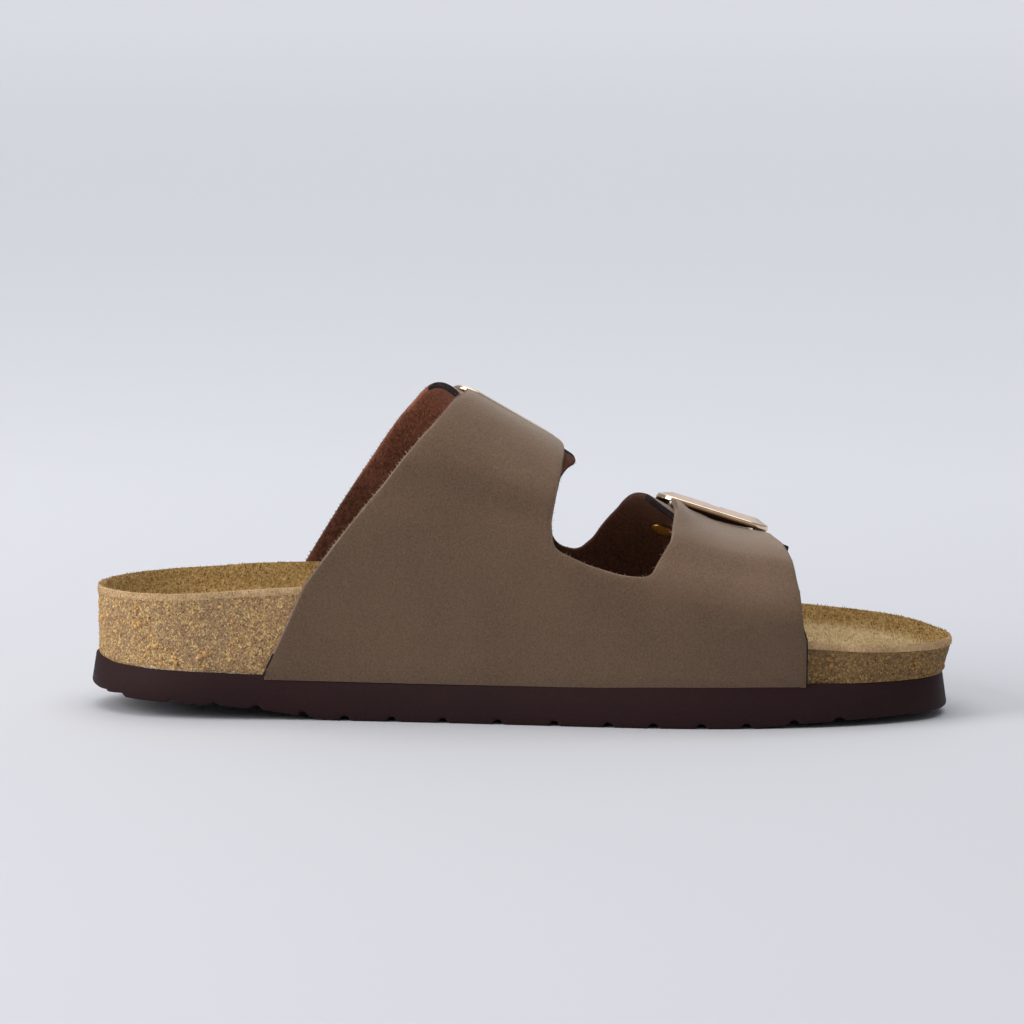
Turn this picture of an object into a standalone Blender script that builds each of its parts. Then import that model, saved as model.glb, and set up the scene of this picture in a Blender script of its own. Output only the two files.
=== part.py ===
"""Two-strap buckled sandal with a cork footbed, for the left foot, standing on its sole.

Sizes are in millimetres and become metres when a mesh is made. x runs from the back of the
heel to the toe, y from the inner (big toe) side to the outer side, and z up from the floor.
The upper is drawn as two flat leather patterns and wrapped over a last. On the last, girth
runs from 0 at the inner edge of the sole, over the ridge of the foot, to the outer edge.
"""

import math

import bmesh
import bpy
import numpy as np
from mathutils import Vector
from mathutils.geometry import delaunay_2d_cdt

MM = 0.001

# Driving sizes
SOLE_BACK = -1.1
SOLE_LENGTH = 262.8
GAP = 0.3
LEATHER = 2.0
LINER = 2.3
SMOOTH_ANGLE = math.radians(40)
WELD = 0.0001

# Plan of the sole at the floor, as shares of its length with the inner and outer edge there
HEEL_BACK_Y = 1.5
TOE_TIP_Y = -13.0
# Columns: share of the length, inner edge y, outer edge y
PLAN = (
    (0.025, -16.5, 19.5),
    (0.10, -28.6, 31.4),
    (0.22, -31.4, 35.2),
    (0.36, -35.0, 38.2),
    (0.50, -40.6, 42.0),
    (0.62, -45.8, 45.6),
    (0.71, -48.0, 46.8),
    (0.79, -47.3, 45.0),
    (0.87, -43.8, 37.5),
    (0.94, -36.5, 23.0),
    (0.985, -27.0, 3.0),
)

# Heights of the sole and footbed along the foot, and how far in the walls of the footbed reach
PROFILE_COLUMNS = ("x", "under", "deck", "inner_rim", "outer_rim", "bed", "inner_wall", "outer_wall")
PROFILE = np.array((
    (0.0, 7.0, 15.6, 38.1, 38.1, 27.0, 15.0, 15.0),
    (7.0, 5.8, 15.3, 38.2, 38.2, 26.2, 15.0, 15.0),
    (15.0, 5.1, 15.0, 38.3, 38.4, 25.4, 15.0, 15.0),
    (34.0, 4.6, 14.3, 39.1, 39.0, 25.0, 16.0, 15.0),
    (50.0, 3.4, 13.6, 40.2, 40.0, 25.0, 18.0, 15.0),
    (64.0, 1.4, 13.3, 41.0, 40.2, 25.2, 21.0, 16.0),
    (80.0, 0.0, 13.1, 41.4, 39.8, 25.4, 25.0, 16.0),
    (105.0, 0.0, 13.0, 40.8, 37.9, 25.4, 28.0, 16.0),
    (140.0, 0.0, 13.2, 36.4, 33.9, 23.6, 20.0, 14.0),
    (175.0, 0.0, 13.6, 31.0, 29.6, 21.2, 13.0, 12.0),
    (195.0, 0.0, 13.5, 28.6, 27.8, 20.0, 11.5, 11.0),
    (219.0, 1.4, 13.1, 26.4, 26.3, 18.8, 10.5, 10.5),
    (234.0, 2.0, 12.9, 25.1, 25.5, 18.6, 10.5, 10.5),
    (248.0, 2.3, 12.8, 24.4, 25.2, 18.6, 10.5, 10.5),
    (264.0, 2.4, 12.9, 24.1, 24.1, 18.8, 10.5, 10.5),
))

# Outsole: side flare, rounded lower edge and wavy cross grooves that spread apart at the waist
FLARE = 1.3
FLARE_HEIGHT = 3.0
LOWER_EDGE = 0.6
GROOVE_DEPTH = 1.9
GROOVE_MOUTH = 4.6
GROOVE_FLOOR = 2.6
GROOVE_FIRST = 22.8
GROOVE_LAST = 255.0
GROOVE_PITCH = 13.5
WAIST_X = 131.0
WAIST_SPREAD = 4.4
WAIST_REACH = 32.0
WAVE_HEIGHT = 2.0
WAVE_LENGTH = 36.0

# Footbed: tucked in under the leather, flush with the sole elsewhere, leaning out at the toe
TUCK = 1.6
FLUSH = -0.1
TUCK_REAR = (22.0, 44.0)
HEEL_INSET = 1.0
HEEL_INSET_TO = (4.0, 30.0)
TUCK_FRONT = (222.0, 236.0)
TOE_LEAN = 2.4
TOE_LEAN_FROM = 222.0
CREST_ROUND = 1.4
CREST_DROP = 0.5
WALL_CURVE = 1.6
SIDE_BLEND = 14.0
# Columns: x, y, height, reach along x, reach along y
BED_BUMPS = (
    (148.0, 2.0, 2.4, 15.0, 13.0),
    (203.0, 2.0, 1.5, 6.0, 30.0),
)

# Last: the ridge of the foot and the roundness of its sections
LAST_COLUMNS = ("x", "ridge_y", "ridge_z")
LAST = np.array((
    (45.0, -5.0, 118.0),
    (90.0, -7.0, 103.8),
    (105.0, -8.0, 99.3),
    (115.0, -8.5, 94.4),
    (125.0, -9.0, 88.7),
    (137.0, -9.5, 82.2),
    (150.0, -10.0, 74.6),
    (167.0, -11.0, 65.4),
    (178.0, -11.5, 59.2),
    (186.0, -11.8, 55.4),
    (193.0, -12.0, 52.8),
    (200.0, -12.2, 51.3),
    (207.0, -12.5, 50.5),
    (228.0, -13.0, 44.5),
))
FULLNESS = 2.2
ARC_STEPS = 40
RIM_GIRTH = 20.0
RIDGE_GIRTH = 90.0
END_GIRTH = 2 * RIDGE_GIRTH

# Upper: margin turned under the footbed, and the inner straps lifted over the outer ones
MARGIN = 9.0
FOLD = 1.5
FUSE = 0.4
OVERLAP_FROM = 46.0
OVERLAP_FULL = 60.0
CURL = 1.8
CURL_ALONG = (177.0, 184.0)
CURL_START = (64.0, 82.0)
CURL_END = (93.0, 102.0)
# Columns of both patterns, one row a corner: x, girth, radius of the corner
INNER_PATTERN = (
    (52.6, -MARGIN, 0.0),
    (52.8, 0.0, 0.0),
    (65.6, 20.0, 25.0),
    (89.5, 49.0, 60.0),
    (106.8, 72.0, 40.0),
    (112.8, 86.0, 12.0),
    (113.8, 110.5, 20.0),
    (105.0, 140.5, 9.5),
    (127.0, 147.3, 9.5),
    (136.2, 116.0, 4.0),
    (141.4, 103.5, 5.0),
    (143.1, 80.0, 25.0),
    (142.4, 66.0, 30.0),
    (140.5, 49.0, 10.0),
    (141.3, 40.3, 4.0),
    (152.0, 37.4, 20.0),
    (162.0, 36.5, 20.0),
    (170.0, 38.1, 5.0),
    (175.8, 56.0, 20.0),
    (176.4, 72.0, 20.0),
    (175.6, 90.0, 12.0),
    (178.2, 146.5, 9.5),
    (200.2, 146.5, 9.5),
    (201.8, 101.5, 2.0),
    (207.3, 98.0, 3.0),
    (208.4, 89.0, 20.0),
    (210.1, 79.5, 20.0),
    (212.6, 60.0, 30.0),
    (214.9, 43.0, 30.0),
    (215.8, 27.0, 8.0),
    (217.2, 20.0, 3.0),
    (217.2, 0.0, 0.0),
    (217.2, -MARGIN, 0.0),
)
OUTER_PATTERN = (
    (51.6, END_GIRTH + MARGIN, 0.0),
    (51.8, END_GIRTH, 0.0),
    (64.0, 160.0, 20.0),
    (84.5, 133.4, 60.0),
    (98.2, 113.4, 30.0),
    (106.0, 97.5, 10.0),
    (113.4, 82.0, 14.0),
    (117.0, 61.0, 9.0),
    (140.2, 58.5, 6.0),
    (147.3, 83.5, 8.0),
    (146.6, 94.0, 5.0),
    (139.0, 101.0, 8.0),
    (142.0, 118.0, 30.0),
    (140.0, 142.0, 12.0),
    (142.0, 150.6, 5.0),
    (149.6, 151.4, 5.0),
    (154.2, 146.8, 10.0),
    (161.2, 134.0, 30.0),
    (168.8, 108.0, 12.0),
    (170.8, 95.0, 8.0),
    (179.2, 78.0, 14.0),
    (180.5, 68.0, 5.0),
    (211.2, 79.0, 0.8),
    (212.8, 87.0, 0.8),
    (205.5, 95.0, 10.0),
    (207.4, 122.0, 40.0),
    (204.5, 148.0, 40.0),
    (203.0, 160.0, 10.0),
    (201.0, END_GIRTH, 0.0),
    (201.0, END_GIRTH + MARGIN, 0.0),
)

# Buckles: a rounded frame bent to the foot, over the strap at its long bars and under it in the middle
# Columns: name, x and girth of the middle, turn in degrees, how much lower the rear end sits
BUCKLES = (
    ("instep", 122.3, 122.0, 17.0, 0.0),
    ("toe", 189.4, 120.6, 0.0, 0.8),
)
FRAME_HALF = 16.6
FRAME_CORNER = 5.0
BAR_WIDTH = 4.6
BAR_INSIDE = 2.8
BAR_OUTSIDE = 1.5
BAR_CHAMFER = 0.5
BAR_SEAT = 2 * LEATHER - FUSE + GAP
HINGE_WIDTH = 4.0
HINGE_HEIGHT = 1.5
HINGE_SEAT = LEATHER + GAP
# Columns: place across the strap from the middle, rise over the seat
HINGE_ROUTE = ((0.0, 0.0), (7.0, 0.0), (13.9, 0.0), (15.2, 1.5), (16.6, 1.5))
NOTCH_WIDTH = 3.2
NOTCH_FROM = -12.0
NOTCH_TO = -15.2
NOTCH_FLOOR = 0.5
HINGE_BENDS = (-10.0, -6.2, -2.7, 2.7, 6.2, 10.0)
HINGE_CLEAR = 0.5

# Prong: its route from the hinge to the inner bar
# Columns: place along the strap, height over the last
PRONG_ROUTE = (
    (-2.6, 3.1),
    (-4.2, 3.15),
    (-6.4, 4.05),
    (-8.6, 4.85),
    (-11.6, 5.3),
    (-13.4, 5.4),
    (-14.8, 5.4),
)
PRONG_STRAIGHT = (5.0, 14.0)
PRONG_WIDTH = 2.5
PRONG_HEIGHT = 1.2
PRONG_SIDES = 8

# Holes in the straps, as places along the girth from the middle of the frame
PRONG_SLOT = (-10.6, -3.0)
PRONG_SLOT_HALF = 1.75
SPARE_HOLES = (8.5,)
SPARE_HOLE_RADIUS = 2.0
HOLE_SIDES = 10

# Rivets that hold the side bars of each frame to the outer strap
RIVET_ACROSS = 14.4
RIVET_ALONG = 14.2
RIVET_STEM = 1.5
RIVET_HEAD = 3.7
RIVET_HEAD_HEIGHT = 1.2
RIVET_CROWN = 2.2
RIVET_SEAT = 0.5
RIVET_HOLE = 1.9
RIVET_SIDES = 12

# Mesh steps
OUTLINE_STEPS = 720
BED_EDGE_STEP = 9
BED_RINGS = (0.0, 1.4, 5.0, 10.0)
BED_STEP = 10.0
BED_HALF = 45.0
TREAD_EDGE_STEP = 10.0
TREAD_EDGE_CLEAR = 3.3
TREAD_ROW_STEP = 14.0
TREAD_SNAP = 0.05
PATTERN_STEP = 6.0
PATTERN_ROWS = 7.8
PATTERN_COLUMN_STEP = 9.5
PATTERN_CLEAR = 3.2
PATTERN_WELD = 0.00001
SHORTEST_RUN = 0.02
SMALLEST_ROUND = 0.05
CORNER_SHARE = 0.48
SLOPE_STEP = 1.0
FOLD_FROM = 40.0
FOLD_TO = 240.0
HINGE_STEPS = 5
SEAT_STEPS = 24
SEAT_CLEAR = 1.0
CORNER_STEPS = 4

# Materials as linear colour, roughness and metallic
MATERIALS = {
    "sole_rubber": ((0.026, 0.016, 0.016), 0.6, 0.0),
    "cork": ((0.40, 0.25, 0.11), 0.85, 0.0),
    "suede": ((0.33, 0.21, 0.085), 0.95, 0.0),
    "nubuck": ((0.125, 0.083, 0.058), 0.75, 0.0),
    "rose_gold": ((0.83, 0.52, 0.36), 0.25, 1.0),
    "brass": ((0.62, 0.40, 0.15), 0.3, 1.0),
}


def smooth_through(xs, ys, x):
    """Curve through (xs, ys) that never overshoots them, read at x."""
    step = np.diff(xs)
    rise = np.diff(ys) / step
    slope = np.zeros(len(xs))
    slope[0] = rise[0]
    slope[-1] = rise[-1]
    for i in range(1, len(xs) - 1):
        if rise[i - 1] * rise[i] > 0:
            before = 2 * step[i] + step[i - 1]
            after = step[i] + 2 * step[i - 1]
            slope[i] = (before + after) / (before / rise[i - 1] + after / rise[i])
    x = np.clip(x, xs[0], xs[-1])
    i = np.clip(np.searchsorted(xs, x, side="right") - 1, 0, len(xs) - 2)
    t = (x - xs[i]) / step[i]
    from_start = ys[i] * (1 + 2 * t) + slope[i] * step[i] * t
    to_end = ys[i + 1] * (3 - 2 * t) + slope[i + 1] * step[i] * (t - 1)
    return from_start * (1 - t) ** 2 + to_end * t ** 2


def profile(name, x):
    """A height or width of the sole at x."""
    return smooth_through(PROFILE[:, 0], PROFILE[:, PROFILE_COLUMNS.index(name)], x)


def last_size(name, x):
    """The place of the foot's ridge at x."""
    return smooth_through(LAST[:, 0], LAST[:, LAST_COLUMNS.index(name)], x)


def ease(value, low, high):
    """Soft step from 0 at low to 1 at high."""
    t = np.clip((value - low) / (high - low), 0.0, 1.0)
    return t * t * (3 - 2 * t)


def closed_spline(points, count):
    """Smooth closed curve through points, read at even steps."""
    points = np.asarray(points, float)
    total = len(points)
    chord = np.linalg.norm(np.roll(points, -1, 0) - points, axis=1)
    system = np.zeros((total, total))
    pull = np.zeros((total, 2))
    for i in range(total):
        before = chord[i - 1]
        after = chord[i]
        following = (i + 1) % total
        system[i, i - 1] = after
        system[i, i] = 2 * (before + after)
        system[i, following] = before
        towards = before * (points[following] - points[i]) / after
        pull[i] = 3 * (after * (points[i] - points[i - 1]) / before + towards)
    slope = np.linalg.solve(system, pull)
    t = np.linspace(0, 1, count // total, endpoint=False)[:, None]
    runs = []
    for i in range(total):
        following = (i + 1) % total
        from_start = points[i] * (1 + 2 * t) + slope[i] * chord[i] * t
        to_end = points[following] * (3 - 2 * t) + slope[following] * chord[i] * (t - 1)
        runs.append(from_start * (1 - t) ** 2 + to_end * t ** 2)
    fine = np.concatenate(runs + [points[:1]])
    along = np.concatenate(([0], np.cumsum(np.linalg.norm(np.diff(fine, axis=0), axis=1))))
    at = np.linspace(0, along[-1], count, endpoint=False)
    return np.stack([np.interp(at, along, fine[:, axis]) for axis in (0, 1)], 1)


def outward(loop):
    """Unit directions that point out of a loop that runs anticlockwise."""
    run = np.roll(loop, -1, 0) - np.roll(loop, 1, 0)
    run /= np.linalg.norm(run, axis=1)[:, None]
    return np.stack((run[:, 1], -run[:, 0]), 1)


def floor_plan():
    """Outline of the sole at the floor, from the heel along the inner side to the toe and back."""
    inner = [(SOLE_BACK + share * SOLE_LENGTH, y) for share, y, _ in PLAN]
    outer = [(SOLE_BACK + share * SOLE_LENGTH, y) for share, _, y in reversed(PLAN)]
    points = [(SOLE_BACK, HEEL_BACK_Y)] + inner + [(SOLE_BACK + SOLE_LENGTH, TOE_TIP_Y)] + outer
    return closed_spline(points, OUTLINE_STEPS)


def bed_plan():
    """Outline of the footbed at its rim."""
    x = FLOOR_PLAN[:, 0]
    under_leather = ease(x, *TUCK_REAR) * (1 - ease(x, *TUCK_FRONT))
    inset = FLARE + FLUSH + (TUCK - FLUSH) * under_leather + HEEL_INSET * (1 - ease(x, *HEEL_INSET_TO))
    loop = FLOOR_PLAN - outward(FLOOR_PLAN) * inset[:, None]
    loop[:, 0] += toe_lean(loop[:, 0])
    return loop


def toe_lean(x):
    """How far the toe of the footbed leans forward at its rim."""
    return TOE_LEAN * ease(x, TOE_LEAN_FROM, SOLE_LENGTH)


FLOOR_PLAN = floor_plan()
BED_PLAN = bed_plan()


def bed_edge(outer, x):
    """Inner face of the leather beside the footbed at x, on the outer or the inner side."""
    tip = int(np.argmax(BED_PLAN[:, 0]))
    inner_run = BED_PLAN[:tip + 1]
    outer_run = np.concatenate((BED_PLAN[tip:], BED_PLAN[:1]))[::-1]
    inner_y = np.interp(x, inner_run[:, 0], inner_run[:, 1]) - GAP
    outer_y = np.interp(x, outer_run[:, 0], outer_run[:, 1]) + GAP
    return np.where(outer, outer_y, inner_y)


def distance_to(points, loop):
    """Distance of each point to a closed loop."""
    start = np.asarray(loop, float)
    run = np.roll(start, -1, 0) - start
    away = points[:, None] - start[None]
    along = np.clip((away * run).sum(2) / (run * run).sum(1), 0, 1)
    return np.linalg.norm(away - along[:, :, None] * run, axis=2).min(1)


def inside(points, loop):
    """Which points lie inside a closed loop."""
    start = np.asarray(loop, float)
    end = np.roll(start, -1, 0)
    crosses = (start[None, :, 1] > points[:, None, 1]) != (end[None, :, 1] > points[:, None, 1])
    drop = np.where(end[:, 1] == start[:, 1], 1.0, end[:, 1] - start[:, 1])
    at = start[:, 0] + (points[:, None, 1] - start[:, 1]) / drop * (end[:, 0] - start[:, 0])
    return (crosses & (points[:, None, 0] < at)).sum(1) % 2 == 1


def bed_height(points):
    """Height of the footbed's top at plan points: floor, bumps and the walls that rise to the rim."""
    x = points[:, 0]
    y = points[:, 1]
    side = ease(y, -SIDE_BLEND, SIDE_BLEND)
    wall = profile("inner_wall", x) * (1 - side) + profile("outer_wall", x) * side
    rim = profile("inner_rim", x) * (1 - side) + profile("outer_rim", x) * side
    edge = distance_to(points, BED_PLAN)
    climb = np.clip(1 - edge / wall, 0, 1) ** WALL_CURVE
    bed = profile("bed", x)
    for bump_x, bump_y, height, reach_x, reach_y in BED_BUMPS:
        bed = bed + height * np.exp(-((x - bump_x) / reach_x) ** 2 - ((y - bump_y) / reach_y) ** 2)
    crest = CREST_DROP * np.clip(1 - edge / CREST_ROUND, 0, 1) ** 2
    return bed + (rim - bed) * climb - crest


def last_points(x, girth):
    """Points of the last: down the side of the footbed, turned under it, or over the foot."""
    outer = girth > RIDGE_GIRTH
    up = np.where(outer, END_GIRTH - girth, girth)
    base_y = bed_edge(outer, x)
    deck = profile("deck", x)
    rim = np.where(outer, profile("outer_rim", x), profile("inner_rim", x))
    ridge_y = last_size("ridge_y", x)
    ridge_z = last_size("ridge_z", x)
    angle = np.linspace(0, math.pi / 2, ARC_STEPS + 1)
    across = np.cos(angle) ** (2 / FULLNESS)
    rise = np.sin(angle) ** (2 / FULLNESS)
    arch_y = ridge_y[:, None] + (base_y - ridge_y)[:, None] * across
    arch_z = rim[:, None] + (ridge_z - rim)[:, None] * rise
    run = np.hypot(np.diff(arch_y, axis=1), np.diff(arch_z, axis=1)).cumsum(1)
    share = np.clip((up - RIM_GIRTH) / (RIDGE_GIRTH - RIM_GIRTH), 0, 1)
    y = base_y.copy()
    z = deck + (rim - deck) * np.clip(up / RIM_GIRTH, 0, 1)
    for i in np.nonzero(up > RIM_GIRTH)[0]:
        along = np.concatenate(([0.0], run[i] / run[i, -1]))
        y[i] = np.interp(share[i], along, arch_y[i])
        z[i] = np.interp(share[i], along, arch_z[i])
    under = np.clip(-up, 0, None)
    y += np.where(outer, -under, under)
    return np.stack((x, y, z), 1)


def raised(x, girth, lift):
    """Points that stand off the last by lift."""
    x = np.atleast_1d(np.asarray(x, float))
    girth = np.atleast_1d(np.asarray(girth, float))
    along = last_points(x + SLOPE_STEP, girth) - last_points(x - SLOPE_STEP, girth)
    round_foot = last_points(x, girth + FOLD) - last_points(x, girth - FOLD)
    normal = np.cross(along, round_foot)
    normal /= np.linalg.norm(normal, axis=1)[:, None]
    return last_points(x, girth) + normal * np.reshape(lift, (-1, 1))


def buckle_scale(x, girth):
    """How much x and girth change for each millimetre across and along a strap there."""
    here = last_points(np.array([x, x + 1, x]), np.array([girth, girth, girth + 1]))
    return 1 / np.linalg.norm(here[1] - here[0]), 1 / np.linalg.norm(here[2] - here[0])


def strap_place(buckle, across, along):
    """Pattern place of a point in a buckle's own frame: across the strap and along it."""
    _, x, girth, turn, _ = buckle
    per_x, per_girth = buckle_scale(x, girth)
    across = np.atleast_1d(np.asarray(across, float))
    along = np.atleast_1d(np.asarray(along, float))
    cos = math.cos(math.radians(turn))
    sin = math.sin(math.radians(turn))
    return x + (across * cos - along * sin) * per_x, girth + (across * sin + along * cos) * per_girth


def on_strap(buckle, across, along, height):
    """Points in a buckle's own frame that stand off the last by height."""
    return raised(*strap_place(buckle, across, along), height)


def on_frame(buckle, across, along, height):
    """The same places on a frame that is straight from its rear end to its front end."""
    rear = on_strap(buckle, np.full(np.shape(across), -FRAME_HALF), along, height - buckle[4])
    front = on_strap(buckle, np.full(np.shape(across), FRAME_HALF), along, height)
    share = np.reshape(across, (-1, 1)) / (2 * FRAME_HALF) + 0.5
    return rear + (front - rear) * share


def strap_folds():
    """Lines in the pattern where the leather bends: round the sole's edge and over the hinges."""
    folds = []
    steps = np.arange(FOLD_FROM, FOLD_TO, PATTERN_COLUMN_STEP)
    for row in (-FOLD, 0.0, FOLD):
        folds.append(np.stack((steps, np.full(len(steps), row)), 1))
        folds.append(np.stack((steps, np.full(len(steps), END_GIRTH - row)), 1))
    across = np.linspace(-FRAME_HALF, FRAME_HALF, HINGE_STEPS)
    for buckle in BUCKLES:
        for bend in HINGE_BENDS:
            folds.append(np.stack(strap_place(buckle, across, np.full(HINGE_STEPS, bend)), 1))
    return folds


def inner_lift(points):
    """How far the inner leather stands off the last, over the outer straps and the buckle hinges."""
    x = points[:, 0]
    girth = points[:, 1]
    lift = (LEATHER - FUSE) * ease(girth, OVERLAP_FROM, OVERLAP_FULL)
    over_hinge = HINGE_SEAT + HINGE_HEIGHT + HINGE_CLEAR - (LEATHER - FUSE)
    between = (BUCKLES[0][1] + BUCKLES[1][1]) / 2
    for (_, centre_x, centre_girth, turn, _), mine in zip(BUCKLES, (x < between, x >= between)):
        per_x, per_girth = buckle_scale(centre_x, centre_girth)
        across = (x - centre_x) / per_x
        along = (girth - centre_girth) / per_girth
        from_hinge = np.abs(along * math.cos(math.radians(turn)) - across * math.sin(math.radians(turn)))
        rise = over_hinge * (1 - ease(from_hinge, HINGE_BENDS[-3], HINGE_BENDS[-1]))
        lift += np.where(mine, rise, 0.0)
    curled = (1 - ease(x, *CURL_ALONG)) * ease(girth, *CURL_START) * (1 - ease(girth, *CURL_END))
    return lift + np.where(x >= between, CURL * curled, 0.0)


FOLDS = strap_folds()


def rounded_loop(corners, step):
    """Outline with each corner rounded to its radius and its runs cut into short steps."""
    points = [np.array(corner[:2]) for corner in corners]
    outline = []
    for i, corner in enumerate(points):
        back = points[i - 1] - corner
        ahead = points[(i + 1) % len(points)] - corner
        room = min(np.linalg.norm(back), np.linalg.norm(ahead)) * CORNER_SHARE
        back /= np.linalg.norm(back)
        ahead /= np.linalg.norm(ahead)
        half = math.acos(np.clip(back @ ahead, -1, 1)) / 2
        trim = min(corners[i][2] / math.tan(half), room)
        if trim < SMALLEST_ROUND:
            outline.append(corner)
            continue
        radius = trim * math.tan(half)
        turn = math.pi - 2 * half
        pieces = max(2, math.ceil(radius * turn / step))
        start = corner + back * trim
        end = corner + ahead * trim
        centre = corner + (back + ahead) / np.linalg.norm(back + ahead) * radius / math.sin(half)
        for share in np.linspace(0, 1, pieces + 1):
            blend = (start - centre) * math.sin((1 - share) * turn) + (end - centre) * math.sin(share * turn)
            outline.append(centre + blend / math.sin(turn))
    return cut_runs(outline, step)


def cut_runs(outline, step):
    """The same closed outline with long runs cut up."""
    points = []
    for i, start in enumerate(outline):
        run = outline[(i + 1) % len(outline)] - start
        length = np.linalg.norm(run)
        if length > SHORTEST_RUN:
            shares = np.linspace(0, 1, max(1, math.ceil(length / step)), endpoint=False)
            points += [start + run * share for share in shares]
    return np.array(points)


def pattern_mesh(loops, spots, folds=()):
    """Triangles that fill the first loop, leave the other loops open, and keep to spots and folds."""
    points = np.concatenate([np.asarray(group).reshape(-1, 2) for group in (*loops, *folds, spots)])
    edges = []
    first = 0
    for loop in loops:
        edges += [(first + i, first + (i + 1) % len(loop)) for i in range(len(loop))]
        first += len(loop)
    for fold in folds:
        edges += [(first + i, first + i + 1) for i in range(len(fold) - 1)]
        first += len(fold)
    flat, _, faces, _, _, _ = delaunay_2d_cdt([Vector(p) for p in points], edges, [], 1, PATTERN_WELD)
    flat = np.array([tuple(p) for p in flat])
    faces = np.array([face for face in faces if len(face) == 3])
    middles = flat[faces].mean(1)
    keep = inside(middles, loops[0])
    for hole in loops[1:]:
        keep &= ~inside(middles, hole)
    return flat, faces[keep]


def make_object(name, points, faces, material):
    """Object in metres with outward faces, smooth over soft curves."""
    mesh = bpy.data.meshes.new(name)
    mesh.from_pydata((np.asarray(points) * MM).tolist(), [], [tuple(int(i) for i in face) for face in faces])
    work = bmesh.new()
    work.from_mesh(mesh)
    bmesh.ops.remove_doubles(work, verts=work.verts, dist=WELD * MM)
    loose = [vert for vert in work.verts if not vert.link_faces]
    bmesh.ops.delete(work, geom=loose, context="VERTS")
    bmesh.ops.recalc_face_normals(work, faces=work.faces)
    work.to_mesh(mesh)
    work.free()
    mesh.shade_smooth()
    mesh.set_sharp_from_angle(angle=SMOOTH_ANGLE)
    mesh.materials.append(material)
    thing = bpy.data.objects.new(name, mesh)
    bpy.context.collection.objects.link(thing)
    return thing


def sheet(name, faces, levels, material):
    """Closed solid from a flat mesh: its first level on top, its last below, the others round its edge."""
    count = len(levels[0])
    directed = {(face[i], face[(i + 1) % 3]) for face in faces.tolist() for i in range(3)}
    edges = sorted(edge for edge in directed if (edge[1], edge[0]) not in directed)
    bottom = (len(levels) - 1) * count
    solid = [tuple(face) for face in faces]
    solid += [tuple(i + bottom for i in reversed(face)) for face in faces.tolist()]
    for level in range(len(levels) - 1):
        high = level * count
        low = high + count
        solid += [(b + high, a + high, a + low, b + low) for a, b in edges]
    return make_object(name, np.concatenate(levels), solid, material)


def loft(name, rings, closed, material):
    """Closed solid through rings of points, in a loop or with flat ends."""
    size = len(rings[0])
    total = len(rings)
    faces = []
    for i in range(total if closed else total - 1):
        here = i * size
        ahead = (i + 1) % total * size
        for k in range(size):
            turn = (k + 1) % size
            faces.append((here + k, here + turn, ahead + turn, ahead + k))
    if not closed:
        faces.append(tuple(range(size)))
        faces.append(tuple(range((total - 1) * size, total * size)))
    return make_object(name, np.concatenate(rings), faces, material)


def boolean(target, operation, tool):
    """Joins a tool to a target or cuts it away, and removes the tool."""
    change = target.modifiers.new("change", "BOOLEAN")
    change.operation = operation
    change.solver = "EXACT"
    change.object = tool
    bpy.context.view_layer.update()
    graph = bpy.context.evaluated_depsgraph_get()
    shaped = bpy.data.meshes.new_from_object(target.evaluated_get(graph))
    target.modifiers.clear()
    target.data = shaped
    bpy.data.objects.remove(tool)


def make_material(name):
    """Plain finish of one kind of piece."""
    colour, roughness, metallic = MATERIALS[name]
    material = bpy.data.materials.new(name)
    material.use_nodes = True
    shader = material.node_tree.nodes["Principled BSDF"]
    shader.inputs["Base Color"].default_value = (*colour, 1.0)
    shader.inputs["Roughness"].default_value = roughness
    shader.inputs["Metallic"].default_value = metallic
    material.diffuse_color = (*colour, 1.0)
    return material


def wave(y):
    """How far a groove of the tread swings forward at y."""
    return WAVE_HEIGHT * np.sin(2 * math.pi * np.asarray(y) / WAVE_LENGTH)


def unwave(plan):
    """Plan points shifted so that the grooves of the tread run straight across."""
    return np.stack((plan[:, 0] - wave(plan[:, 1]), plan[:, 1]), 1)


def groove_places():
    """Middles of the grooves along the sole."""
    places = [GROOVE_FIRST]
    while places[-1] < GROOVE_LAST - GROOVE_PITCH:
        spread = WAIST_SPREAD * math.exp(-((places[-1] - WAIST_X) / WAIST_REACH) ** 2)
        places.append(places[-1] + GROOVE_PITCH + spread)
    return np.array(places)


def tread_lines():
    """Straightened places of each groove's two mouth edges and two floor edges."""
    offsets = (-GROOVE_MOUTH / 2, -GROOVE_FLOOR / 2, GROOVE_FLOOR / 2, GROOVE_MOUTH / 2)
    floors = (False, True, True, False)
    return [(place + offset, floor) for place in groove_places() for offset, floor in zip(offsets, floors)]


def tread_crossings():
    """Each line of the tread with the two places, as steps along the outline, where it comes out."""
    straight = unwave(FLOOR_PLAN)[:, 0]
    ahead = np.roll(straight, -1)
    found = []
    for place, floor in tread_lines():
        hits = np.nonzero((straight < place) != (ahead < place))[0]
        if len(hits) == 2:
            pair = np.array([i + (place - straight[i]) / (ahead[i] - straight[i]) for i in hits])
            found.append((place, floor, pair))
    return found


def along_outline(steps, inset):
    """Plan points at steps along the outline of the sole, moved in by inset."""
    loop = FLOOR_PLAN - outward(FLOOR_PLAN) * inset
    closed = np.concatenate((loop, loop[:1]))
    at = np.arange(len(closed))
    return np.stack([np.interp(steps, at, closed[:, axis]) for axis in (0, 1)], 1)


def tread_edge(crossings):
    """Lower edge of the outsole, with a point wherever a groove comes out."""
    fixed = np.concatenate([pair for _, _, pair in crossings])
    spread = np.arange(0, OUTLINE_STEPS, TREAD_EDGE_STEP)
    apart = np.abs(spread[:, None] - fixed[None])
    apart = np.minimum(apart, OUTLINE_STEPS - apart).min(1)
    return along_outline(np.sort(np.concatenate((fixed, spread[apart > TREAD_EDGE_CLEAR]))), LOWER_EDGE)


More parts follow.
